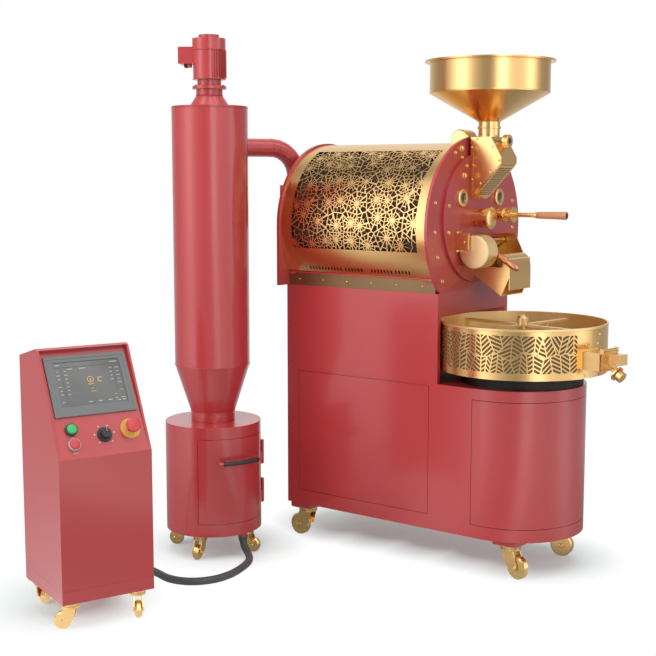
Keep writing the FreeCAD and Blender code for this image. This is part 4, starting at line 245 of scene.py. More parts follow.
hose_radius = 0.012
hose_route = (
    (-0.58965, -0.57685, 0.150), (-0.6349, -0.5604, 0.150), (-0.6779, -0.5210, 0.116),
    (-0.6979, -0.4610, 0.056), (-0.6819, -0.3890, 0.016), (-0.6339, -0.3230, 0.0125),
    (-0.5659, -0.2870, 0.0125), (-0.4919, -0.3020, 0.0125), (-0.4179, -0.3250, 0.0125),
    (-0.3459, -0.3010, 0.0125), (-0.3039, -0.2390, 0.0125), (-0.2999, -0.1650, 0.0125),
    (-0.3179, -0.0930, 0.0125), (-0.3419, -0.0350, 0.0125), (-0.3749, 0.0030, 0.0145),
    (-0.4039, 0.0190, 0.026), (-0.4239, 0.0270, 0.044), (-0.42366, 0.02683, 0.0688),
)
hose_line = bpy.data.curves.new("conduit_hose_cover", "CURVE")
hose_line.dimensions = "3D"
spline = hose_line.splines.new("NURBS")
spline.points.add(len(hose_route) - 1)
for point, place in zip(spline.points, hose_route):
    point.co = (*place, 1)
spline.order_u = 3
spline.use_endpoint_u = True
spline.resolution_u = 8
hose_line.bevel_depth = hose_radius
hose_line.bevel_resolution = 6
hose_line.use_fill_caps = True
hose_line.materials.append(clouded(
    "hose_rubber", ((0.050, 0.051, 0.055), (0.105, 0.103, 0.102)), (14, 4), (0.42, 0.62),
    (700, 2, 0.0003)))
hose = bpy.data.objects.new("conduit_hose_cover", hose_line)
bpy.context.scene.collection.objects.link(hose)
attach(hose, "frame")
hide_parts("conduit_hose")

# Its two strain reliefs: tapered rubber sleeves with a few ribs, pushed over the hose
# where it leaves each gland.
sleeve_ribs = 4


def strain_relief(name, exit_point, towards, length):
    profile = [(hose_radius - 0.0006, 0.0), (hose_radius + 0.0035, 0.0)]
    for rib in range(sleeve_ribs):
        low = length * (rib + 0.3) / sleeve_ribs
        wide = hose_radius + 0.0035 * (1 - rib / sleeve_ribs) + 0.0004
        profile += [(wide, low), (wide, low + length * 0.12), (wide - 0.0012, low + length * 0.16)]
    profile += [(hose_radius + 0.0006, length), (hose_radius - 0.0006, length), profile[0]]
    return finished(name, [put(turned(profile, 32), exit_point, towards)], hose_line.materials[0],
                    "frame")


console_exit = Vector(hose_route[0])
console_way = (Vector(hose_route[1]) - console_exit).normalized()
base_exit = Vector(hose_route[-1])
sleeves = [strain_relief("hose_sleeve_console", console_exit, console_way, 0.030),
           strain_relief("hose_sleeve_chaff_box", base_exit, (0, 0, -1), 0.018)]


# The studio: a white floor without an edge, a white background, a soft light on the left,
# a weaker one on the right, and bright and dim zones that draw the metal's shapes.
ZONES_AROUND = (
    (-180, 0.36), (-160, 0.36), (-143, 0.80), (-128, 1.45), (-114, 2.40), (-103, 1.60),
    (-92, 0.80), (-76, 0.45), (-62, 0.30), (-52, 0.50), (-44, 2.20), (-37, 3.00), (-29, 1.80),
    (-19, 1.10), (6, 1.10), (22, 2.00), (34, 1.20), (50, 0.42), (70, 0.35), (90, 0.45),
    (120, 0.90), (150, 0.65), (180, 0.36),
)
ZONES_UP = ((0, 1.0), (28, 1.0), (42, 1.05), (58, 1.10), (68, 1.05), (90, 1.15))
ZONE_PEAK = 5.0
SHADED_SPOTS = ((-0.38, 0.58, 0), (-0.20, 0.60, 0), (0.00, 0.61, 0), (0.20, 0.61, 0),
                (0.34, 0.60, 0), (-0.58, 0.08, 0), (-0.58, -0.62, 0))


def zone_curve(nodes, stops, low, high, angle):
    """The zones' levels, as shares of the peak, over an angle between two in degrees."""
    share = nodes.step(angle, math.radians(low), math.radians(high))
    curve = nodes.node("ShaderNodeFloatCurve", {}, {"Value": share})
    mapping = curve.socket.node.mapping
    points = [((stop - low) / (high - low), level / ZONE_PEAK) for stop, level in stops]
    line = mapping.curves[0].points
    line[0].location = points[0]
    line[1].location = points[-1]
    for point in points[1:-1]:
        line.new(*point)
    mapping.update()
    return curve


def studio_floor():
    """White to the camera but for the shade at the feet; a mirroring metal sees the zones in
    it, dimmer than in the sky and dimmest near the roaster."""
    finish = Finish("studio_floor")
    finish.give(base_color=(0.80, 0.93, 0.92), roughness=1.0)
    seen = finish.node("ShaderNodeLightPath", {}, {}, "Is Camera Ray")
    mirrored = finish.node("ShaderNodeLightPath", {}, {}, "Is Glossy Ray")
    place = finish.node("ShaderNodeTexCoord", {}, {}, "Object")

    def distance(spot):
        return finish.node("ShaderNodeVectorMath", {"operation": "DISTANCE"},
                           {0: place, 1: spot}, 1)

    def light(strength):
        return finish.node("ShaderNodeEmission", {}, {"Color": (1.0, 1.0, 1.0),
                                                      "Strength": strength})

    shade = 0.0
    for spot in SHADED_SPOTS:
        shade = seen.math("MAXIMUM", 1 - finish.step(distance(spot), 0.13, 0.31), shade)
    middle = (0.1, 0.3, 0)
    east, north = [finish.node("ShaderNodeSeparateXYZ", {}, {0: place}, axis) - middle[axis]
                   for axis in (0, 1)]
    around = zone_curve(finish, ZONES_AROUND, -180, 180, seen.math("ARCTAN2", north, east))
    # The zones a metal sees in the floor are dimmed near the roaster: painted shade in place of the
    # shadow there.
    clear = finish.step(distance(middle), 0.9, 2.2) * 0.24 + 0.28
    zones = finish.node("ShaderNodeMixShader", {}, {0: around ** 0.7 * clear,
                                                    2: light(ZONE_PEAK)})
    plain = Level(finish, finish.shader.outputs[0])
    ground = finish.node("ShaderNodeMixShader", {}, {0: seen * (1 - shade * 0.80), 1: plain,
                                                     2: light(1.0)})
    mixed = finish.node("ShaderNodeMixShader", {}, {0: mirrored, 1: ground, 2: zones})
    finish.feed(finish.tree.nodes["Material Output"].inputs["Surface"], mixed)
    return finish.material


alone()
bpy.ops.mesh.primitive_plane_add(size=40, location=(0, 0, 0))
floor = bpy.context.object
floor.name = "studio_floor"
floor.data.materials.append(studio_floor())


def studio_sky():
    """White to the camera, plain light on the object, and zones for what mirrors it."""
    world = bpy.data.worlds.new("studio_sky")
    bpy.context.scene.world = world
    world.use_nodes = True
    sky = Nodes(world.node_tree)
    sky.tree.nodes.clear()
    way = sky.node("ShaderNodeTexCoord", {}, {}, "Generated")
    east, north, rise = [sky.node("ShaderNodeSeparateXYZ", {}, {0: way}, axis)
                         for axis in range(3)]
    around = zone_curve(sky, ZONES_AROUND, -180, 180, way.math("ARCTAN2", north, east))
    up = zone_curve(sky, ZONES_UP, 0, 90, way.math("ARCSINE", rise))
    zones = around * up * (ZONE_PEAK * ZONE_PEAK)
    seen = sky.node("ShaderNodeLightPath", {}, {}, "Is Camera Ray")
    mirrored = sky.node("ShaderNodeLightPath", {}, {}, "Is Glossy Ray")
    plain = sky.node("ShaderNodeMix", {}, {0: seen, 2: 0.62, 3: 1.0})
    strength = sky.node("ShaderNodeMix", {}, {0: mirrored, 2: plain, 3: zones})
    background = sky.node("ShaderNodeBackground", {}, {"Color": (1.0, 1.0, 1.0),
                                                       "Strength": strength})
    output = sky.tree.nodes.new("ShaderNodeOutputWorld")
    sky.feed(output.inputs["Surface"], background)


def soft_light(name, at, size, power):
    """A large square lamp that faces the middle of the roaster."""
    lamp = bpy.data.lights.new(name, "AREA")
    lamp.shape = "SQUARE"
    lamp.size = size
    lamp.energy = power
    holder = bpy.data.objects.new(name, lamp)
    bpy.context.scene.collection.objects.link(holder)
    holder.location = at
    holder.visible_glossy = False
    holder.rotation_euler = (Vector((0, 0, 0.8)) - Vector(at)).to_track_quat("-Z", "Y").to_euler()


studio_sky()
soft_light("left_light", (-1.6, -3.8, 2.6), size=2.2, power=84)
soft_light("right_light", (3.6, -0.6, 2.4), size=1.8, power=18)
soft_light("top_light", (0.2, -0.2, 4.2), size=2.6, power=66)
bpy.context.scene.view_settings.view_transform = "Standard"


# The cabinets, plates and side panels: steel sheet, folded, welded and sprayed in one
# glossy red, with a faint orange peel and softly rounded edges.
def coat(material, *nodes):
    """Give CAD nodes their finish."""
    for node in nodes:
        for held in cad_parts[node].material_slots:
            held.material = material


paint = clouded("red_paint", ((0.440, 0.032, 0.035), (0.500, 0.042, 0.045)), (2.2, 2),
                (0.34, 0.42), (420, 2, 0.00006, 0.0016), coat_weight=0.9, coat_roughness=0.15)
coat(paint, "base_cabinet", "side_panels", "front_door", "burner_cabinet", "rear_plate",
     "front_plate", "exhaust_duct", "cyclone_body", "cyclone_lid", "fan_motor", "cyclone_base",
     "base_door", "console_body", "console_plinth", "drum_gearmotor")


# The front plate's bolts: brass-plated hexagon heads on washers, two larger ones above,
# screwed through the round plate into the drum's end frame.
def bevelled(offset):
    """All edges of the active form softly rounded."""
    bpy.ops.object.mode_set(mode="EDIT")
    bpy.ops.mesh.select_all(action="SELECT")
    bpy.ops.mesh.bevel(offset=offset, segments=2, affect="EDGES")
    bpy.ops.object.mode_set(mode="OBJECT")


def bolt(radius):
    """A hexagon head with a chamfered top on a round washer."""
    washer = turned([(0, 0), (radius * 1.3, 0), (radius * 1.3, radius * 0.18),
                     (radius * 1.18, radius * 0.28), (0, radius * 0.28)], 20)
    alone()
    bpy.ops.mesh.primitive_cylinder_add(vertices=6, radius=radius, depth=radius * 0.8,
                                        location=(0, 0, radius * 0.66))
    bevelled(radius * 0.12)
    washer.select_set(True)
    bpy.context.view_layer.objects.active = washer
    bpy.ops.object.join()
    return bpy.context.object


casting = clouded("cast_brass", ((0.920, 0.590, 0.230), (0.970, 0.660, 0.290)), (40, 3),
                  (0.24, 0.30), (600, 2, 0.00001, 0.0008), metallic=1.0)
FORWARDS = (1, 0, 0)
tray_low, tray_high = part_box("tray_floor")
tray_axis = (tray_low + tray_high) / 2
plate_low, plate_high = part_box("front_plate")
ring_face = plate_high.x - 0.008
boss_face = plate_high.x


def corners(count, radius, middle=(0, 0), first=0.0):
    """A regular outline's corners round a point, the first at an angle in degrees."""
    turns = [math.radians(first + 360 * number / count) for number in range(count)]
    return [Vector(middle) + radius * Vector((math.cos(turn), math.sin(turn))) for turn in turns]


def circled(middle, count, radius, first):
    """Places on a circle round a point, all facing forwards."""
    return [(Vector(middle) + Vector((0, *corner)), FORWARDS)
            for corner in corners(count, radius, first=first)]


def on_ring(across, height):
    return (ring_face, tray_axis.y + across, height), FORWARDS


def on_boss(across, height):
    return (boss_face, tray_axis.y + across, height), FORWARDS


small_bolts = copied(bolt(0.0052), [
    on_ring(-0.130, 1.326), on_ring(-0.0888, 1.3113), on_ring(-0.2446, 1.1696),
    on_ring(-0.2457, 1.079), on_ring(-0.2300, 1.000), on_ring(-0.1991, 0.9234),
    on_ring(0.130, 1.326), on_ring(0.2446, 1.1696), on_ring(0.2457, 1.079), on_ring(0.1991, 0.9234),
    on_boss(-0.0719, 1.285), on_boss(-0.1769, 1.160), on_boss(-0.1769, 1.076)])
large_bolts = copied(bolt(0.0085), [on_ring(-0.0945, 1.3398), on_ring(0.0945, 1.3398),
                                    on_boss(-0.0884, 1.2537)])
finished("front_plate_bolts", small_bolts + large_bolts, casting, "frame", 25)


# The burner cabinet's gas bars, valve and pipe, and the drum with its shaft: plain dark
# steel, heat-worn, seen only through openings. The ring under the cooling tray takes the
# same near-black as painted shade in the recess beneath the tray.
def dull_steel(name, dark, light, rough):
    return clouded(name, (dark, light), (30, 4), (rough, rough + 0.15), (300, 3, 0.0002),
                   metallic=1.0)


black_steel_and_shade = dull_steel("black_steel_and_shade", (0.022, 0.020, 0.019), (0.060, 0.054, 0.050), 0.45)
bright_steel = dull_steel("bright_steel", (0.42, 0.42, 0.42), (0.60, 0.60, 0.60), 0.30)
# On the tray_base ring this near-black is painted shade under the tray.
coat(black_steel_and_shade, "drum", "tray_base", "gas_burner")
coat(bright_steel, "fan_impeller")


# The drum cover: one brass sheet rolled over the drum, cut through on each side with a
# field of star-shaped openings, and a row of small slots above its lower edge.
def sheet_brass(name, stretch):
    """Sheet brass with a fine brushed grain under lacquer."""
    finish = Finish(name)
    streak = finish.noise(1.0, 3, stretch)
    cloud = finish.noise(3.0, 2)
    tone = finish.blend(streak, (0.920, 0.580, 0.240), (0.950, 0.620, 0.270))
    finish.give(base_color=tone, metallic=1.0, roughness=0.21 + streak * 0.03 + cloud * 0.04)
    finish.bump(streak, 0.000003)
    return finish.material


brushed_along = sheet_brass("brass_brushed_along", (6, 260, 260))
brushed_round = sheet_brass("brass_brushed_round", (9, 9, 320))


def kept_side(polygon, point, way):
    """The part of a convex outline behind a line through a point, square to a way."""
    kept = []
    for here, there in zip(polygon, polygon[1:] + polygon[:1]):
        before = (here - point).dot(way)
        after = (there - point).dot(way)
        if before <= 0:
            kept.append(here)
        if before * after < 0:
            kept.append(here.lerp(there, before / (before - after)))
    return kept


def open_band(openings, polygon, centre, way, low, high, least_area):
    """Open the part of an outline that lies between two distances from its centre along a
    way, if it is large enough to cut."""
    part = kept_side(polygon, centre + way * low, -way)
    part = kept_side(part, centre + way * high, way)
    doubled = sum(here.x * there.y - there.x * here.y
                  for here, there in zip(part, part[1:] + part[:1]))
    if len(part) > 2 and abs(doubled) / 2 > least_area:
        openings.append(part)


def cells(corner, size, pitch, rib, seed):
    """Cells around scattered centres in a rectangle, a rib's width apart."""
    chance = random.Random(seed)
    across = max(1, round(size[0] / pitch[0]))
    up = max(1, round(size[1] / pitch[1]))
    centres = []
    for row in range(up):
        for column in range(across):
            share = Vector(((column + 0.5 + 0.5 * (row % 2) - 0.25) / across, (row + 0.5) / up))
            shift = Vector((chance.uniform(-0.3, 0.3) / across, chance.uniform(-0.3, 0.3) / up))
            spot = share + shift
            centres.append(Vector((corner[0] + spot.x * size[0], corner[1] + spot.y * size[1])))
    whole = [Vector(corner), Vector((corner[0] + size[0], corner[1])),
             Vector((corner[0] + size[0], corner[1] + size[1])),
             Vector((corner[0], corner[1] + size[1]))]
    found = []
    for centre in centres:
        cell = whole
        for other in centres:
            if other is not centre:
                way = (other - centre).normalized()
                cell = kept_side(cell, (centre + other) / 2 - way * rib / 2, way)
        found.append((centre, cell))
    return found, chance


def star_openings(corner, size, pitch, rib, seed):
    """Wedges between the rays of stars, each cut across by one or two struts."""
    openings = []
    found, chance = cells(corner, size, pitch, rib, seed)
    for centre, cell in found:
        rays = chance.randint(11, 14)
        first = chance.uniform(0, math.tau)
        for ray in range(rays):
            turns = [first + math.tau * (ray + chance.uniform(-0.16, 0.16) * end) / rays
                     + math.tau / rays * end for end in (0, 1)]
            wedge = cell
            for turn, side in zip(turns, (1, -1)):
                normal = Vector((math.sin(turn), -math.cos(turn))) * side
                wedge = kept_side(wedge, centre - normal * rib / 2, normal)
            middle = (turns[0] + turns[1]) / 2
            out = Vector((math.cos(middle), math.sin(middle)))
            if len(wedge) < 3:
                continue
            reach = max((tip - centre).dot(out) for tip in wedge)
            struts = [0.14 * reach + 0.003]
            if reach > 0.021:
                struts.append(reach * chance.uniform(0.45, 0.76))
            struts.append(2 * reach)
            for low, high in zip(struts, struts[1:]):
                open_band(openings, wedge, centre, out, low, high - rib, least_area=6e-6)
    return openings


def pierced_sheet(outline, openings, step):
    """A flat sheet inside an outline with openings cut out, scored so that it can roll."""
    points = [Vector(corner) for corner in outline]
    loops = [list(range(len(points)))]
    for opening in openings:
        loops.append(list(range(len(points), len(points) + len(opening))))
        points += opening
    spots, _, triangles, _, _, _ = delaunay_2d_cdt(points, [], loops, 2, 1e-7)
    sheet = bmesh.new()
    tips = [sheet.verts.new((spot.x, spot.y, 0)) for spot in spots]
    for triangle in triangles:
        sheet.faces.new([tips[index] for index in triangle])
    for lone in [spot for spot in sheet.verts if not spot.link_faces]:
        sheet.verts.remove(lone)
    if step:
        length = max(corner[1] for corner in outline)
        for line in range(1, int(length / step) + 1):
            bmesh.ops.bisect_plane(sheet, geom=sheet.verts[:] + sheet.edges[:] + sheet.faces[:],
                                   plane_co=(0, line * step, 0), plane_no=(0, 1, 0), dist=1e-6)
    return sheet


def oblong(width, height):
    return [(0, 0), (width, 0), (width, height), (0, height)]


def rolled(sheet, wall, roll):
    """The sheet's two sides, set by roll(across, along, depth), with every cut edge closed."""
    form = bmesh.new()
    sides = []
    for depth in (0, wall):
        sides.append([form.verts.new(roll(spot.co.x, spot.co.y, depth)) for spot in sheet.verts])
    sheet.verts.index_update()
    for face in sheet.faces:
        loop = [spot.index for spot in face.verts]
        form.faces.new([sides[0][index] for index in loop])
        form.faces.new([sides[1][index] for index in reversed(loop)])
    for edge in sheet.edges:
        if edge.is_boundary:
            ends = edge.link_loops[0]
            first, second = ends.vert.index, ends.link_loop_next.vert.index
            form.faces.new((sides[0][second], sides[0][first], sides[1][first], sides[1][second]))
    sheet.free()
    bmesh.ops.remove_doubles(form, verts=form.verts, dist=1e-6)
    mesh = bpy.data.meshes.new("rolled_sheet")
    form.to_mesh(mesh)
    form.free()
    piece = bpy.data.objects.new("rolled_sheet", mesh)
    bpy.context.scene.collection.objects.link(piece)
    return piece


cover_low, cover_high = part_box("drum_cover")
cover_radius = (cover_high.y - cover_low.y) / 2
cover_axis = Vector((0, (cover_low.y + cover_high.y) / 2,
                     plate_high.z - (plate_high.y - plate_low.y) / 2))
cover_wall = 0.0025
cover_foot = math.asin((cover_low.z - cover_axis.z) / cover_radius)
cover_size = (cover_high.x - cover_low.x, cover_radius * (math.pi - 2 * cover_foot))


def cover_place(along, around, depth):
    turn = cover_foot + around / cover_radius
    return (cover_low.x + along, cover_axis.y - (cover_radius - depth) * math.cos(turn),
            cover_axis.z + (cover_radius - depth) * math.sin(turn))


def around_at(degrees):
    """The distance round the cover from its near lower edge to an angle above the level."""
    return cover_radius * (math.radians(degrees) - cover_foot)


field_margin_rear = 0.047
field_margin_front = 0.043
field_low = around_at(-15.5)
field_high = around_at(65)
field_size = (cover_size[0] - field_margin_rear - field_margin_front, field_high - field_low)
star_pitch = (0.060, 0.060)
star_rib = 0.0031
cover_openings = star_openings((field_margin_rear, field_low), field_size, star_pitch, star_rib, 7)
far_low = cover_size[1] - field_high
cover_openings += star_openings((field_margin_rear, far_low), field_size, star_pitch, star_rib, 19)
slot_size = (0.0055, 0.014)
slot_pitch = 0.0126
for first_slot, slots in ((0.0975, 11), (0.2440, 6), (0.3480, 7), (0.4420, 5)):
    for number in range(slots):
        left = first_slot + number * slot_pitch
        for low in (around_at(-32.4), cover_size[1] - around_at(-32.4) - slot_size[1]):
            cover_openings.append([Vector((left + across * slot_size[0], low + up * slot_size[1]))
                                   for across, up in ((0, 0.15), (0.3, 0), (0.7, 0), (1, 0.15),
                                                      (1, 0.85), (0.7, 1), (0.3, 1), (0, 0.85))])
cover_sheet = pierced_sheet(oblong(*cover_size), cover_openings, cover_radius * math.radians(3.5))
cover = finished("drum_cover_sheet", [rolled(cover_sheet, cover_wall, cover_place)],
                 brushed_along, "frame", 28)
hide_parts("drum_cover")

# The sheet behind the lace: a near-black sheet, rolled a little smaller than the cover, whose
# colour is painted shade, so that the openings show no light.
shade_backing = clouded("shade_backing_sheet", ((0.020, 0.012, 0.008), (0.060, 0.034, 0.018)), (9, 4),
                  (0.55, 0.75), (120, 3, 0.0002))
shell_radius = cover_radius - 0.0110
drawn([(cover_low.x + 0.004, cover_axis.y, cover_axis.z + shell_radius),
       (cover_high.x - 0.004, cover_axis.y, cover_axis.z + shell_radius)])
bpy.ops.mesh.spin(steps=96, angle=math.tau, center=cover_axis, axis=(1, 0, 0))
bpy.ops.mesh.select_all(action="SELECT")
bpy.ops.mesh.bisect(plane_co=(0, 0, cover_low.z + 0.002), plane_no=(0, 0, 1), clear_inner=True)
shell = tidied()
shell.modifiers.new("sheet", "SOLIDIFY").thickness = 0.0015
bpy.ops.object.modifier_apply(modifier="sheet")
finished("lace_shade_shell", [shell], shade_backing, "frame")


# The crown cap and the cover's fittings: a short round brass cap on top, a steel rod
# painted red along each lower edge, red latch plates at its ends, and dome screws.
def block(size, edge=0.001, at=(0, 0, 0)):
    """A rectangular form with softly bevelled edges."""
    alone()
    bpy.ops.mesh.primitive_cube_add(size=1, location=at)
    form = bpy.context.object
    form.scale = size
    bpy.ops.object.transform_apply(location=False, rotation=False, scale=True)
    bevelled(edge)
    return form


def dome_screw(radius):
    return turned([(0, radius * 0.62), (radius * 0.5, radius * 0.54), (radius * 0.85, radius * 0.3),
                   (radius, 0), (0, 0)], 14)


def rod(radius, length, edge=0.0008):
    """A round rod from the origin along Z with a small chamfer at both ends."""
    return turned([(0, 0), (radius - edge, 0), (radius, edge), (radius, length - edge),
                   (radius - edge, length), (0, length)], 20)


cap_radius = 0.033
cap_half = 0.031
cap_middle = (0.1128, cover_axis.y, 1.369)
cap_foot = 1.3575
cap = turned([(0, -cap_half), (cap_radius - 0.003, -cap_half), (cap_radius, -cap_half + 0.003),
              (cap_radius, cap_half - 0.003), (cap_radius - 0.003, cap_half), (0, cap_half)], 56)
put(cap, cap_middle, (0, 1, 0))
bpy.ops.object.transform_apply(location=True, rotation=True, scale=True)
bpy.ops.object.mode_set(mode="EDIT")
bpy.ops.mesh.select_all(action="SELECT")
bpy.ops.mesh.bisect(plane_co=(0, 0, cap_foot), plane_no=(0, 0, 1), clear_inner=True, use_fill=True)
bpy.ops.object.mode_set(mode="OBJECT")
finished("crown_cap", [cap], brushed_along, "frame")

rail_side = 0.2245
rail_height = 0.9298
latch_height = 0.9270
screw_height = 0.9070
fittings = []
screws = []
for side in (-1, 1):
    edge_line = cover_axis.y + side * rail_side
    fittings.append(put(rod(0.0026, 0.580), (cover_low.x + 0.003, edge_line, rail_height),
                        FORWARDS))
    for along in (cover_low.x + 0.004, cover_high.x - 0.028):
        fittings.append(block((0.044, 0.006, 0.0095),
                              at=(along, edge_line + side * 0.001, latch_height)))
    for number in range(6):
        along = cover_low.x + 0.045 + number * 0.0985
        screws.append(((along, cover_axis.y + side * 0.2230, screw_height), (0, side, 0)))
finished("cover_edge_fittings", fittings, paint, "frame")
finished("rail_screws", copied(dome_screw(0.0030), screws), casting, "frame")

# The shaft's front bearing: a cast brass boss on the plate with a domed cap, held by a
# ring of small dome screws.
coat(casting, "front_bearing")
bearing_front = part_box("front_bearing")[1].x
bearing_height = 1.118
cap_disc = lathe(48, (0, 5.2), (14, 4.6), (24, 2.6), (29, 0), (0, 0))
put(cap_disc, (bearing_front, tray_axis.y, bearing_height), FORWARDS)
ring_bolts = circled((bearing_front - 0.0002, tray_axis.y, bearing_height), 6, 0.0255, 30)
finished("bearing_cap", [cap_disc] + copied(dome_screw(0.0026), ring_bolts), casting, "frame",
         30)

# The two sight glasses: thick round glass, dark against the drum, in a stepped brass ring
# held by four screws.
dark_glass = clouded("dark_glass", ((0.010, 0.009, 0.009), (0.030, 0.024, 0.022)), (30, 3),
                     (0.04, 0.10), coat_weight=1.0, coat_roughness=0.03)
glass_height = 1.184
rings = []
panes = []
ring_screws = []
for across in (-0.101, 0.133):
    middle = Vector((boss_face, tray_axis.y + across, glass_height))
    rings.append(put(lathe(56, (16, 0), (29, 0), (29, 5.2), (28, 7), (26.4, 7.6), (19, 8.8),
                           (16.8, 8.4), (16, 7), (16, 0)), middle, FORWARDS))
    panes.append(put(lathe(48, (0, 7), (8, 6.6), (13, 5.6), (15.8, 4.4), (15.8, 0.4),
                           (0, 0.4)), middle, FORWARDS))
    ring_screws += circled(middle + Vector((0.0066, 0, 0)), 4, 0.0270, 45)
ring_piece = finished("sight_glass_rings", rings + copied(dome_screw(0.0015), ring_screws),
                      casting, "frame", 30)
pane_piece = finished("sight_glass_panes", panes, dark_glass, "frame", 40)
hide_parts("sight_glasses")
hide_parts("sight_glasses")


# The trier: a brass scoop tube that slides in a guide bolted to the plate, with a ferrule
# and a turned, oiled wooden grip closed by a dark end cap.
def oiled_wood():
    finish = Finish("oiled_wood")
    rings_of_growth = finish.noise(1.0, 4, (26, 190, 190))
    pores = finish.noise(1.0, 2, (120, 1400, 1400))
    finish.give(base_color=finish.blend(rings_of_growth, (0.520, 0.180, 0.075),
                                        (0.720, 0.300, 0.140)),
                roughness=0.34 + pores * 0.22, coat_weight=0.35, coat_roughness=0.2)
    finish.bump(pores, 0.00012)
    return finish.material


def plastic(name, dark, light, rough):
    """Moulded plastic with a fine eroded grain."""
    return clouded(name, (dark, light), (60, 3), (rough, rough + 0.12), (1500, 2, 0.00012))


coat(casting, "trier_guide", "trier")
black_plastic = plastic("black_plastic", (0.016, 0.016, 0.018), (0.034, 0.034, 0.037), 0.36)
wood = oiled_wood()
grip_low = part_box("trier_handle")[0]
trier_line = Vector((grip_low.x, tray_axis.y + 0.075, 1.128))
grip = lathe(40, (5.2, 9), (9.8, 9), (10.8, 11), (11.2, 24), (11.8, 60), (12.6, 96), (13, 106),
             (12.6, 110), (10.6, 111.6), (9.6, 111), (9.4, 108), (0, 108))
grip_piece = finished("trier_grip", [put(grip, trier_line, FORWARDS)], wood, "trier")
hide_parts("trier_handle")
ferrule = lathe(40, (5.2, 0), (9.2, 0), (10.4, 1.2), (10.4, 7.8), (9.6, 9.2), (5.2, 9.2), (5.2, 0))
finished("trier_ferrule", [put(ferrule, trier_line, FORWARDS)], casting, "trier")
end_cap = lathe(40, (0, 107.8), (9.2, 107.8), (9.2, 110.6), (7, 111.6), (0, 112))
finished("trier_end_cap", [put(end_cap, trier_line, FORWARDS)], black_plastic, "trier")
flange_bolts = circled((boss_face + 0.008, trier_line.y, trier_line.z), 4, 0.0208, 45)
collar = lathe(44, (17.2, 0), (21.2, 0), (22, 1), (22, 9), (21.2, 10), (17.2, 10), (17.2, 0))
put(collar, (boss_face + 0.052, trier_line.y, trier_line.z), FORWARDS)
clamp_screw = put(bolt(0.0040), (boss_face + 0.057, trier_line.y - 0.0216, trier_line.z),
                  (0, -1, 0))
finished("trier_guide_fixings", copied(bolt(0.0030), flange_bolts) + [collar, clamp_screw],
         casting, "frame", 28)

# The hopper: a spun brass funnel with a rolled rim, a soldered seam bead round the foot of
# its wall, and a clamp ring where the neck enters the chute.
coat(brushed_round, "hopper")
hopper_axis = (tray_axis.x - 0.134, tray_axis.y)


def bead(radius, height, thick, at, sides=120):
    """A round bead or rolled edge about a vertical line."""
    ring = corners(8, thick, (radius, height))
    return put(turned(ring + ring[:1], sides), (at[0], at[1], 0))


clamp = lathe(56, (33.8, 1402), (36.6, 1402), (37.2, 1402.8), (37.2, 1409.2), (36.6, 1410),
              (33.8, 1410), (33.8, 1402))
put(clamp, (hopper_axis[0], hopper_axis[1], 0))
clamp_bolt = put(bolt(0.0032), (hopper_axis[0], hopper_axis[1] - 0.0368, 1.406), (0, -1, 0))
finished("hopper_rim_and_seams", [bead(0.2046, 1.6132, 0.0027, hopper_axis),
                                  bead(0.1912, 1.5165, 0.0016, hopper_axis),
                                  bead(0.0345, 1.4245, 0.0018, hopper_axis, 56), clamp, clamp_bolt],
         brushed_round, "frame", 40)


# The feed chute under it: two cheeks edged with bright riveted strips, a perforated slope over
# a near-black sheet of painted shade behind its holes, and screws along the edges.
def cut_plate(outline, thick, rim=0.0):
    """A flat plate from its outline, or the rim of one, raised from z 0."""
    drawn([(across, up, 0) for across, up in outline + outline[:1]])
    bpy.ops.mesh.remove_doubles(threshold=0.000001)
    bpy.ops.mesh.edge_face_add()
    if rim:
        bpy.ops.mesh.select_mode(type="FACE")
        bpy.ops.mesh.select_all(action="SELECT")
        bpy.ops.mesh.inset(thickness=rim)
        bpy.ops.mesh.delete(type="FACE")
        bpy.ops.mesh.select_mode(type="VERT")
        bpy.ops.mesh.select_all(action="SELECT")
    bpy.ops.mesh.extrude_region_move(TRANSFORM_OT_translate={"value": (0, 0, thick)})
    return tidied()


def upright(form, near_side):
    """Stand a plate drawn in X and Z on edge, its face towards the near side at that Y."""
    form.matrix_world = (Matrix.Translation((tray_axis.x, near_side, 0))
                         @ Matrix.Rotation(math.radians(90), 4, "X"))
    return form


def hexagon_holes(width, height, pitch, radius):
    holes = []
    rows = int((height - 2 * radius) / (pitch * 0.866))
    columns = int((width - 2 * radius) / pitch)
    for row in range(rows):
        for column in range(columns - row % 2):
            middle = Vector((width / 2 + (column - (columns - 1 - row % 2) / 2) * pitch,
                             height / 2 + (row - (rows - 1) / 2) * pitch * 0.866))
            holes.append(corners(6, radius, middle, 30))
    return holes


warm_brass = sheet_brass("brass_warm_cheeks", (9, 9, 60))
coat(warm_brass, "feed_chute")
chute_half = 0.050
cheek = [(-0.1700, 1.1862), (-0.0612, 1.2936), (-0.0612, 1.3116), (-0.0986, 1.3748),
         (-0.1700, 1.3748)]
strips = [upright(cut_plate(cheek, 0.0012, rim=0.0085), face)
          for face in (tray_axis.y - chute_half, tray_axis.y + chute_half + 0.0010)]
slope_foot = Vector((tray_axis.x - 0.1657, 0, 1.180))
slope_way = Vector((0.6832, 0, 0.7303))
slope_out = Vector((0.7303, 0, -0.6832))
slope_size = (0.097, 0.138)


def slope_place(across, along, depth):
    spot = slope_foot + slope_way * (along + 0.009) + slope_out * (0.0019 - depth)
    return (spot.x, tray_axis.y - slope_size[0] / 2 + across, spot.z)


slope_holes = hexagon_holes(slope_size[0] - 0.004, slope_size[1] - 0.004, 0.0092, 0.0034)
slope_holes = [[corner + Vector((0.002, 0.002)) for corner in hole] for hole in slope_holes]
slope_sheet = rolled(pierced_sheet(oblong(*slope_size), slope_holes, 0), 0.0011, slope_place)
finished("chute_edging", strips + [slope_sheet], brushed_along, "frame", 25)


def slope_dark_place(across, along, depth):
    spot = Vector(slope_place(across, along, 0)) - slope_out * (0.0012 + depth)
    return tuple(spot)
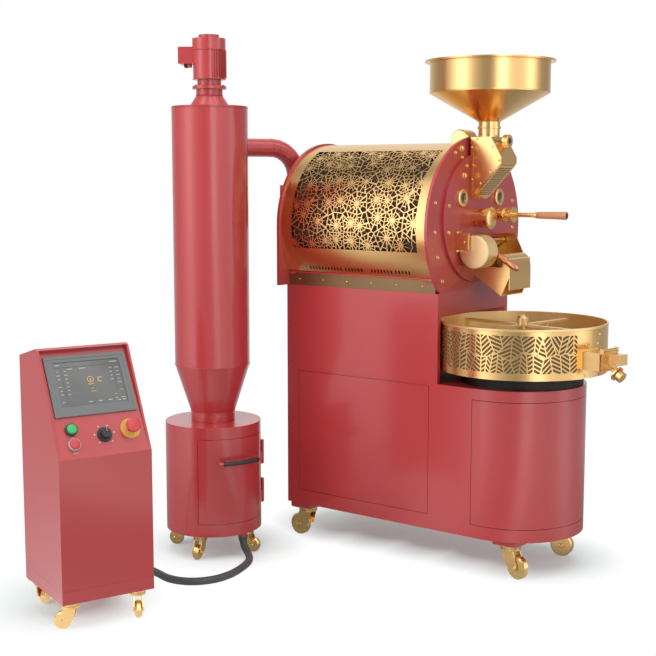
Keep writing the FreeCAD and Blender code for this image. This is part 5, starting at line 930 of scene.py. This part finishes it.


# The near-black sheet under the slope: painted shade, so that its holes look dark.
dark_slope = rolled(pierced_sheet(oblong(*slope_size), [], 0), 0.0005, slope_dark_place)
finished("chute_shade_sheet", [dark_slope], shade_backing, "frame")
cheek_screws = []
for side in (-1, 1):
    for across, height in ((-0.1668, 1.3436), (-0.1474, 1.3706), (-0.1622, 1.2870),
                           (-0.1003, 1.2640), (-0.1651, 1.2423), (-0.1340, 1.2290),
                           (-0.0660, 1.3020), (-0.0900, 1.3440)):
        cheek_screws.append(((tray_axis.x + across, tray_axis.y + side * (chute_half + 0.0010),
                              height), (0, side, 0)))
finished("chute_screws", copied(bolt(0.0034), cheek_screws), casting, "frame", 28)

# The feed gate's knob: a turned brass knob on the rod, with a small black disc let into
# its face.
coat(casting, "feed_gate")
gate_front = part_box("feed_gate")[1]
gate_place = (gate_front.x, tray_axis.y, 1.3625)
knob_ring = lathe(48, (10, -1.4), (10.4, 0.2), (19, 0), (20.4, -1.2), (20.8, -3), (20.8, -13),
                  (20, -14.2), (15, -14.2), (15, -0.8), (10, -1.4))
finished("feed_gate_ring", [put(knob_ring, gate_place, FORWARDS)], casting, "feed_gate")
knob_disc = lathe(40, (0, 0.7), (7, 0.6), (9.8, 0), (10, -0.6), (0, -0.6))
finished("feed_gate_face", [put(knob_disc, gate_place, FORWARDS)], black_plastic, "feed_gate")


# The discharge: a folded brass chute with a cast door in front, hung on a pivot, shut by a
# turned weight, and lifted by a lever with a two-part copper-toned grip.
def satin_metal(name, dark, light, rough):
    finish = Finish(name)
    cloud = finish.noise(12, 3)
    ring = finish.noise(1.0, 2, (240, 240, 240))
    finish.give(base_color=finish.blend(cloud, dark, light), metallic=1.0,
                roughness=rough + ring * 0.12)
    finish.bump(ring, 0.00003, 0.001)
    return finish.material


satin_brass = satin_metal("satin_brass", (0.960, 0.730, 0.370), (0.990, 0.790, 0.440), 0.40)
# The cover rails: brass darkened to brown, as painted shade and a painted dark reflection.
rail_shaded_brass = satin_metal("rail_shaded_brass", (0.270, 0.175, 0.090), (0.340, 0.225, 0.120), 0.42)
coat(rail_shaded_brass, "cover_rails")
copper = satin_metal("copper_tone", (0.640, 0.270, 0.130), (0.760, 0.360, 0.190), 0.26)
coat(brushed_along, "discharge_chute")
coat(casting, "discharge_door")
coat(satin_brass, "discharge_weight")
pivot = Vector((0.1971, tray_axis.y - 0.046, 1.045))
grip_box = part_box("discharge_grip")
lever_way = ((grip_box[0] + grip_box[1]) / 2 - pivot).normalized()
handle = lathe(36, (5.2, 78), (7.4, 78), (8.2, 80), (10, 92), (10.4, 106), (10, 120), (8.6, 123),
               (8.6, 125), (10, 128), (10.6, 142), (10.2, 156), (8.8, 166), (5, 169.6), (0, 170))
handle_piece = finished("discharge_handle", [put(handle, pivot, lever_way)], copper,
                        "discharge_door", 40)
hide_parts("discharge_grip")
weight_low, weight_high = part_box("discharge_weight")
weight_middle = (weight_low + weight_high) / 2
weight_face = lathe(72, (0, 1.4), (44, 1.3), (50, 0.8), (52.6, 0), (0, 0))
put(weight_face, (weight_middle.x, weight_low.y, weight_middle.z), (0, -1, 0))
finished("weight_face", [weight_face], satin_brass, "discharge_door")
hood_curve = [(-0.0700, 1.0050), (-0.0600, 1.0010), (-0.0500, 0.9930), (-0.0440, 0.9830),
              (-0.0408, 0.9710), (-0.0398, 0.9570), (-0.0396, 0.9300), (-0.0398, 0.8900),
              (-0.0418, 0.8900), (-0.0416, 0.9300), (-0.0416, 0.9570), (-0.0426, 0.9706),
              (-0.0454, 0.9820), (-0.0510, 0.9918), (-0.0606, 0.9996), (-0.0706, 1.0036)]
hood = upright(cut_plate(hood_curve, 0.141), tray_axis.y + 0.1205)
finished("discharge_hood_band", [hood], brushed_along, "frame", 50)
pivot_pin = put(dome_screw(0.0050), (pivot.x, tray_axis.y - 0.1320, pivot.z), (0, -1, 0))
foot_plates = []
for height in (1.0760, 1.0170):
    foot_plates.append(block((0.0090, 0.030, 0.0060),
                             at=(boss_face + 0.0045, tray_axis.y - 0.126, height)))
finished("pivot_bracket_plates", [pivot_pin] + foot_plates, casting, "frame", 28)


# The cooling tray: a rolled brass wall with a beaded rim and a square outlet, wrapped from
# the outside by a cut brass skin with leaf-shaped openings over a dark band of painted shade.
def leaf_openings(corner, size, pitch, rib, seed):
    """Slanted strokes on both sides of a stem in each cell, pointing up and down in turn."""
    openings = []
    found, chance = cells(corner, size, pitch, rib, seed)
    for centre, cell in found:
        lean = chance.uniform(-0.25, 0.25)
        stem = Vector((math.sin(lean), math.cos(lean)))
        rise = chance.choice((-1, 1)) * chance.uniform(0.5, 0.95)
        stroke = chance.uniform(0.0060, 0.0078)
        for side in (-1, 1):
            across = Vector((stem.y, -stem.x)) * side
            half = kept_side(cell, centre + across * rib / 2, -across)
            way = (across + stem * rise).normalized()
            up = Vector((-way.y, way.x)) * side
            for count in range(-14, 15):
                low = count * (stroke + rib)
                open_band(openings, half, centre, up, low, low + stroke, least_area=1.4e-5)
    return openings


# The band's dark brown is painted shade behind the skin's openings.
tray_shade_band = clouded("tray_shade_band", ((0.100, 0.060, 0.020), (0.170, 0.105, 0.038)), (14, 3),
                    (0.5, 0.7), (160, 2, 0.0001))
tray_brass = satin_metal("tray_inside_brass", (0.960, 0.680, 0.320), (0.980, 0.730, 0.370), 0.36)
coat(tray_brass, "cooling_tray")
wall_low, wall_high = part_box("cooling_tray")
tray_radius = tray_axis.x - wall_low.x - 0.003
outlet_turn = math.radians(-10)
skin_gap = 0.043
skin_top = 0.0075
skin_size = (0.1475, math.tau * tray_radius - 0.0004)
outlet_cut = 0.0570
skin_outline = [(0, 0), (outlet_cut, 0), (outlet_cut, skin_gap), (skin_size[0], skin_gap),
                (skin_size[0], skin_size[1] - skin_gap), (outlet_cut, skin_size[1] - skin_gap),
                (outlet_cut, skin_size[1]), (0, skin_size[1])]


def round_tray(out, gap=0.0, drop=0.0):
    """How a sheet rolls round the wall, standing out from it, past a gap and a drop."""
    def place(down, along, depth):
        turn = outlet_turn + (along + gap) / tray_radius
        return (tray_axis.x + (tray_radius + out - depth) * math.cos(turn),
                tray_axis.y + (tray_radius + out - depth) * math.sin(turn),
                wall_high.z - skin_top - drop - down)
    return place


leaf_start = 0.066
leaf_far = 0.350
turned_leaves = leaf_openings((leaf_far, 0.022), (skin_size[1] - leaf_far - leaf_start, 0.1135),
                              (0.046, 0.060), 0.0040, 5)
skin_openings = []
for opening in turned_leaves:
    skin_openings.append([Vector((skin_size[0] - spot.y, spot.x)) for spot in opening])
skin_step = tray_radius * math.radians(3.5)
skin = rolled(pierced_sheet(skin_outline, skin_openings, skin_step), 0.0015,
              round_tray(0.0023))
finished("cooling_tray_skin", [skin], brushed_round, "frame", 28)
band_length = skin_size[1] - 2 * skin_gap - 0.008
band = rolled(pierced_sheet(oblong(skin_size[0] - 0.002, band_length), [], skin_step), 0.0004,
              round_tray(0.0005, gap=skin_gap + 0.004, drop=0.001))
finished("cooling_tray_shade_band", [band], tray_shade_band, "frame")

# The tray's floor: a steel disc with a close pattern of round holes, which lets the air
# through the beans, laid on the wall's inner ledge.
floor_radius = (tray_high.x - tray_low.x) / 2
floor_top = tray_high.z
floor_middle = Vector((floor_radius, floor_radius))
disc_outline = corners(120, floor_radius, floor_middle)
floor_holes = []
for hole in hexagon_holes(2 * floor_radius, 2 * floor_radius, 0.0100, 0.0029):
    middle = sum(hole, Vector((0, 0))) / 6 - floor_middle
    if 0.036 < middle.length < floor_radius - 0.014:
        floor_holes.append(hole)


def floor_place(across, along, depth):
    return (tray_axis.x - floor_radius + across, tray_axis.y - floor_radius + along,
            floor_top - depth)


spindle_hole = corners(24, 0.0115, floor_middle)
floor_sheet = rolled(pierced_sheet(disc_outline, floor_holes + [spindle_hole], 0), 0.003,
                     floor_place)
floor_piece = finished("tray_floor_sheet", [floor_sheet], bright_steel, "frame", 25)
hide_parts("tray_floor")

# The stirrer and the tray gate: cast brass arms on a hub with a domed cap, and a flap with
# a block, rod and knob; each has its set screws.
coat(tray_brass, "stirrer")
coat(casting, "tray_gate")
stirrer_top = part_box("stirrer")[1].z
hub_cap = lathe(40, (0, 7.8), (6, 7.2), (12, 5.2), (16.5, 1.6), (17.2, 0), (0, 0))
put(hub_cap, (tray_axis.x, tray_axis.y, stirrer_top - 0.0080))
finished("stirrer_hub_cap", [hub_cap], casting, "stirrer")
outlet_way = Vector((math.cos(outlet_turn), math.sin(outlet_turn), 0))
outlet_side = Vector((-math.sin(outlet_turn), math.cos(outlet_turn), 0))
wall_bolts = []
for side in (-1, 1):
    for height in (0.745, 0.652):
        wall_bolts.append((Vector((tray_axis.x, tray_axis.y, height))
                           + outlet_way * (tray_radius + (0.0004 if height > 0.7 else -0.0020))
                           + outlet_side * side * 0.030, outlet_way))
bolt_turn = math.radians(-1.0)
wall_bolts.append(((tray_axis.x + (tray_radius + 0.0020) * math.cos(bolt_turn),
                    tray_axis.y + (tray_radius + 0.0020) * math.sin(bolt_turn), 0.7715),
                   (math.cos(bolt_turn), math.sin(bolt_turn), 0)))
finished("outlet_bolts", copied(dome_screw(0.0042), wall_bolts), casting, "frame")

# The cyclone: rolled and welded sheet under the same paint, with weld seams round its body,
# a bolted motor flange on the lid, and a totally enclosed motor with cooling fins.
cyclone_axis = (-0.5599, 0.0370)
seams = [bead(radius, height, thick, cyclone_axis, sides) for radius, height, thick, sides in (
    (0.1246, 1.4715, 0.0012, 96), (0.1244, 0.6330, 0.0012, 96), (0.0735, 0.4745, 0.0016, 64),
    (0.0440, 1.5125, 0.0014, 48), (0.1576, 0.4425, 0.0010, 120))]
duct_leg = Vector((-0.4899, 0.3980, 1.253))
duct_turn = math.radians(64.38)
duct_way = Vector((-math.cos(duct_turn), -math.sin(duct_turn), 0))
duct_bend = 0.096
elbow_seams = []
for bend in range(0, 91, 15):
    rise = math.radians(bend)
    spot = (duct_leg + duct_way * duct_bend * (1 - math.cos(rise))
            + Vector((0, 0, duct_bend * math.sin(rise))))
    ring = lathe(48, (30, -1.2), (31.4, -1), (32, 0), (31.4, 1), (30, 1.2), (30, -1.2))
    elbow_seams.append(put(ring, spot, duct_way * math.sin(rise) + Vector((0, 0, math.cos(rise)))))
finished("duct_elbow_seams", elbow_seams, paint, "frame", 40)
finished("cyclone_seams", seams, paint, "frame", 40)
motor_bolts = copied(bolt(0.0036), [((*spot, 1.5418), (0, 0, 1))
                                    for spot in corners(8, 0.0480, cyclone_axis, 22)])
box_side = 212
box_turn = math.radians(box_side)
box_way = Vector((math.cos(box_turn), math.sin(box_turn), 0))
fin_turns = [math.tau * number / 40 for number in range(40)]
fin_turns = [turn for turn in fin_turns
             if not -48 < (math.degrees(turn) - box_side + 180) % 360 - 180 < 112]
fins = copied(block((0.0052, 0.0018, 0.0860), 0.0005), [((0, 0, 0), (0, 0, 1))] * len(fin_turns))
for fin, turn in zip(fins, fin_turns):
    fin_out = Vector((math.cos(turn), math.sin(turn), 0))
    put(fin, Vector((*cyclone_axis, 1.6110)) + fin_out * 0.0538, spin=turn)
cowl_lip = bead(0.0545, 1.6570, 0.0016, cyclone_axis, 64)
foot_lip = bead(0.0525, 1.5640, 0.0018, cyclone_axis, 64)
box_lid = block((0.0022, 0.0560, 0.0500), 0.0009)
put(box_lid, Vector((*cyclone_axis, 1.639)) + box_way * 0.0958, spin=box_turn)
lid_screws = []
for across in (-0.023, 0.023):
    for height in (1.620, 1.658):
        lid_screws.append((Vector((*cyclone_axis, height)) + box_way * 0.0966
                           + Vector((-box_way.y, box_way.x, 0)) * across, box_way))
finished("motor_fins_and_bolts", fins + motor_bolts + [cowl_lip, foot_lip, box_lid]
         + copied(dome_screw(0.0022), lid_screws), paint, "frame", 30)
gland = lathe(24, (0, 0), (8.5, 0), (9.2, -1), (9.2, -6), (7, -7.5), (7, -10.5), (5, -11.5),
              (0, -11.5))
put(gland, Vector((*cyclone_axis, 1.6122)) + box_way * 0.074)
finished("motor_gland", [gland], black_plastic, "frame")

# The chaff box door's bow handle: a bent steel bar with a black ribbed rubber sleeve
# between two collars.
bow_radius = 0.193
bow_height = 0.332
bow_middle = Vector((*cyclone_axis, bow_height))
bow_ends = (math.radians(-37.0), math.radians(-0.5))


def on_bow(turn):
    return bow_middle + bow_radius * Vector((math.cos(turn), math.sin(turn), 0))


alone()
bpy.ops.mesh.primitive_circle_add(vertices=24, radius=0.0070, fill_type="NGON")
sleeve = bpy.context.object
sleeve.matrix_world = (Matrix.Translation(on_bow(bow_ends[1]))
                       @ Matrix.Rotation(bow_ends[1], 4, "Z")
                       @ Matrix.Rotation(math.radians(90), 4, "X"))
bpy.ops.object.transform_apply(location=True, rotation=True, scale=True)
bpy.ops.object.mode_set(mode="EDIT")
bpy.ops.mesh.select_all(action="SELECT")
bpy.ops.mesh.spin(steps=28, angle=bow_ends[1] - bow_ends[0], center=bow_middle, axis=(0, 0, 1))
sleeve = tidied()
collars = []
for turn in bow_ends:
    ring = lathe(28, (5.2, -3), (8.2, -3), (8.6, -2), (8.6, 2), (8.2, 3), (5.2, 3), (5.2, -3))
    collars.append(put(ring, on_bow(turn), (-math.sin(turn), math.cos(turn), 0)))
finished("bow_handle_sleeve", [sleeve] + collars, black_plastic, "base_door")


# The console's controls: a touch screen in a grey frame, two lit buttons in round bezels, a
# black selector with plain dots round it, and a red mushroom head over a yellow disc.
face_across = Vector((0.34202, 0.93969, 0))
face_up = Vector((-0.47792, 0.17395, 0.86100))
face_out = Vector((0.80908, -0.29448, 0.50859))
console_face = (Matrix.Translation((-0.3469, -0.811, 0.487))
                @ Matrix((face_across, face_up, face_out)).transposed().to_4x4())


def on_face(form, across, up, lift=0.0):
    """Set a form on the console's face, its Z outwards, at a place in millimetres."""
    form.matrix_world = console_face @ Matrix.Translation((across / 1000, up / 1000, lift / 1000))
    return form


screen_grey = plastic("screen_frame_grey", (0.150, 0.158, 0.158), (0.185, 0.192, 0.190), 0.40)
screen_dark = plastic("screen_display", (0.135, 0.135, 0.132), (0.165, 0.163, 0.160), 0.14)
pale_mark = plastic("pale_marks", (0.48, 0.47, 0.46), (0.58, 0.57, 0.56), 0.4)
gold_mark = plastic("gold_marks", (0.62, 0.38, 0.12), (0.72, 0.48, 0.18), 0.4)
# Dark bars: printed divider lines, and painted shadow along the display's edges.
print_and_shade_line = plastic("print_and_shade_lines", (0.045, 0.043, 0.042), (0.065, 0.062, 0.060), 0.3)
coat(screen_grey, "touch_screen")


def mark(width, height, across, up, lift=4.9, thick=0.4):
    """A thin flat bar on the console's face, all in millimetres."""
    return on_face(block((width / 1000, height / 1000, thick / 1000), 0.0001), across, up, lift)


display = on_face(block((0.197, 0.132, 0.0006), 0.0002), 139, 217, 4.3)
finished("screen_display", [display], screen_dark, "frame")
# The first two bars are painted shadow along the display's top and right edges, below the frame;
# the other three are printed divider lines.
finished("screen_lines_and_edge_shade", [mark(*line, 4.75, 0.3) for line in (
    (197, 2.2, 139, 283.4), (1.6, 132, 237.2, 217), (190, 0.8, 139, 268), (0.8, 94, 60, 215),
    (0.8, 78, 214, 226))], print_and_shade_line, "frame")
chance = random.Random(11)
marks = []
for column, width in ((50, 12), (72, 11), (206, 10), (226, 13)):
    for row in range(9):
        if chance.random() < 0.72:
            marks.append(mark(width * chance.uniform(0.5, 1.0), 1.8, column, 164 + row * 11.5,
                              4.8, 0.3))
for across, up, width in ((52, 275, 14), (218, 275, 22), (86, 262, 16), (124, 262, 18),
                          (128, 160, 12), (156, 160, 12), (186, 160, 12), (212, 157, 10),
                          (228, 157, 10)):
    marks.append(mark(width, 2.2, across, up, 4.8, 0.3))
finished("screen_marks", marks, pale_mark, "frame")
symbol_ring = lathe(28, (7.5, 0), (9.5, 0), (9.5, 0.4), (7.5, 0.4), (7.5, 0))
symbol = [on_face(symbol_ring, 140, 226, 4.7)]
for bar in ((3, 12, 140, 223), (18, 2.2, 140, 212), (12, 3, 168, 230), (3, 12, 163, 225),
            (12, 2.6, 168, 218), (9, 1.8, 141, 199), (15, 1.8, 143, 190)):
    symbol.append(mark(*bar))
finished("screen_symbol", symbol, gold_mark, "frame")

button_places = {"start_button": (53, 84), "stop_button": (53, 40)}
green = plastic("green_plastic", (0.040, 0.420, 0.130), (0.065, 0.520, 0.190), 0.28)
red = plastic("red_plastic", (0.560, 0.045, 0.050), (0.680, 0.070, 0.075), 0.30)
dark_bezel = plastic("dark_bezel", (0.030, 0.034, 0.036), (0.060, 0.064, 0.066), 0.3)
pale_bezel = plastic("pale_bezel", (0.420, 0.360, 0.350), (0.540, 0.480, 0.460), 0.3)
for node, finish, ring_finish in (("start_button", green, dark_bezel),
                                  ("stop_button", red, pale_bezel)):
    coat(finish, node)
    top = lathe(40, (0, 1.6), (8, 1.4), (12.2, 0.6), (13.2, -0.4), (13, -1.2), (0, -1.2))
    finished(node + "_cap", [on_face(top, *button_places[node], 12.5)], finish, node)
    ring = lathe(48, (14.6, 0), (17.2, 0), (17.4, 0.8), (17, 8.6), (16.2, 9.6), (14.6, 9),
                 (14.6, 0))
    finished(node + "_bezel", [on_face(ring, *button_places[node])], ring_finish, "frame")

coat(black_plastic, "selector_knob")
knob_place = (146, 60)
plate_ring = lathe(48, (14, 0), (21.6, 0), (22.2, 0.6), (21.6, 1.6), (20.4, 1.8), (20.4, 0.4),
                   (14, 0.4), (14, 0))
finished("selector_plate", [on_face(plate_ring, *knob_place)], dark_bezel, "frame")
pointer = on_face(block((0.0012, 0.0120, 0.0005), 0.0002), knob_place[0],
                  knob_place[1] + 7.5, 23.1)
finished("selector_pointer", [pointer], pale_mark, "selector_knob")
dots = []
for turn in (-130, -75, -20, 35, 90, 145):
    reach = 29
    dots.append(on_face(lathe(12, (0, 0.5), (2.1, 0.4), (2.6, 0), (0, 0)),
                        knob_place[0] + reach * math.sin(math.radians(turn - 8)),
                        knob_place[1] + reach * math.cos(math.radians(turn - 8)), 0.0))
dots += [mark(13, 1.8, 53, 17, 0.2), mark(9, 1.8, 53, 61.5, 0.2)]
finished("console_marks", dots, pale_mark, "frame")

coat(red, "estop_head")
yellow = plastic("yellow_plastic", (0.660, 0.350, 0.060), (0.780, 0.450, 0.100), 0.4)
estop_place = (226, 70)
disc = lathe(56, (11, 0), (29, 0), (29.6, 0.6), (29.2, 1.4), (11, 1.4), (11, 0))
finished("estop_disc", [on_face(disc, *estop_place)], yellow, "frame")
crown = lathe(48, (0, 2.2), (9, 1.9), (16, 1), (20, -1), (20.6, -3), (0, -3))
finished("estop_crown", [on_face(crown, *estop_place, 32)], red, "estop_head")

# The castors: gold-plated pressed steel forks on ball races, with solid wheels. Each axle
# is a bolt with a nut on both sides of its fork.
coat(casting, "castor_plates")
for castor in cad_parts:
    if castor.endswith(("_fork", "_wheel")) or "_castor_" in castor:
        coat(casting, castor)
large_castors = {"near_front": (0.3891, 0.373), "far_front": (0.3891, 0.665),
                 "near_rear": (-0.3979, 0.346), "far_rear": (-0.3979, 0.692)}


def axle_nuts(name, spot, trail_turn, body, trail, height, half, nut_radius, race_above):
    """The axle's nuts on both sides of a castor's fork, and its ball race above the wheel."""
    turn = math.radians(trail_turn)
    middle = Vector((spot[0] + trail * math.cos(turn), spot[1] + trail * math.sin(turn), height))
    axle = Vector((-math.sin(turn), math.cos(turn), 0))
    nuts = copied(bolt(nut_radius), [(middle + axle * half, axle), (middle - axle * half, -axle)])
    race = turned([(0.0062, -0.0030), (nut_radius * 2.6, -0.0030), (nut_radius * 2.8, -0.0022),
                   (nut_radius * 2.8, 0.0), (0.0062, 0.0), (0.0062, -0.0030)])
    nuts.append(put(race, (spot[0], spot[1], 2 * height + race_above)))
    finished(name, nuts, casting, body, 28)


for name, spot in large_castors.items():
    wheel_low, wheel_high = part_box(name + "_wheel")
    trail_turn = math.degrees(math.atan2((wheel_low.y + wheel_high.y) / 2 - spot[1],
                                         (wheel_low.x + wheel_high.x) / 2 - spot[0]))
    axle_nuts(name + "_axle_nuts", spot, trail_turn, name + "_fork", trail=0.032, height=0.0375,
              half=0.0172, nut_radius=0.0066, race_above=0.018)
for number in range(4):
    name = f"cyclone_castor_{number + 1}"
    trail_turn = -70.9 + 90 * number
    turn = math.radians(trail_turn)
    spot = (cyclone_axis[0] + 0.118 * math.cos(turn), cyclone_axis[1] + 0.118 * math.sin(turn))
    axle_nuts(name + "_axle_nuts", spot, trail_turn, name, trail=0.022, height=0.025,
              half=0.0142, nut_radius=0.0048, race_above=0.0135)
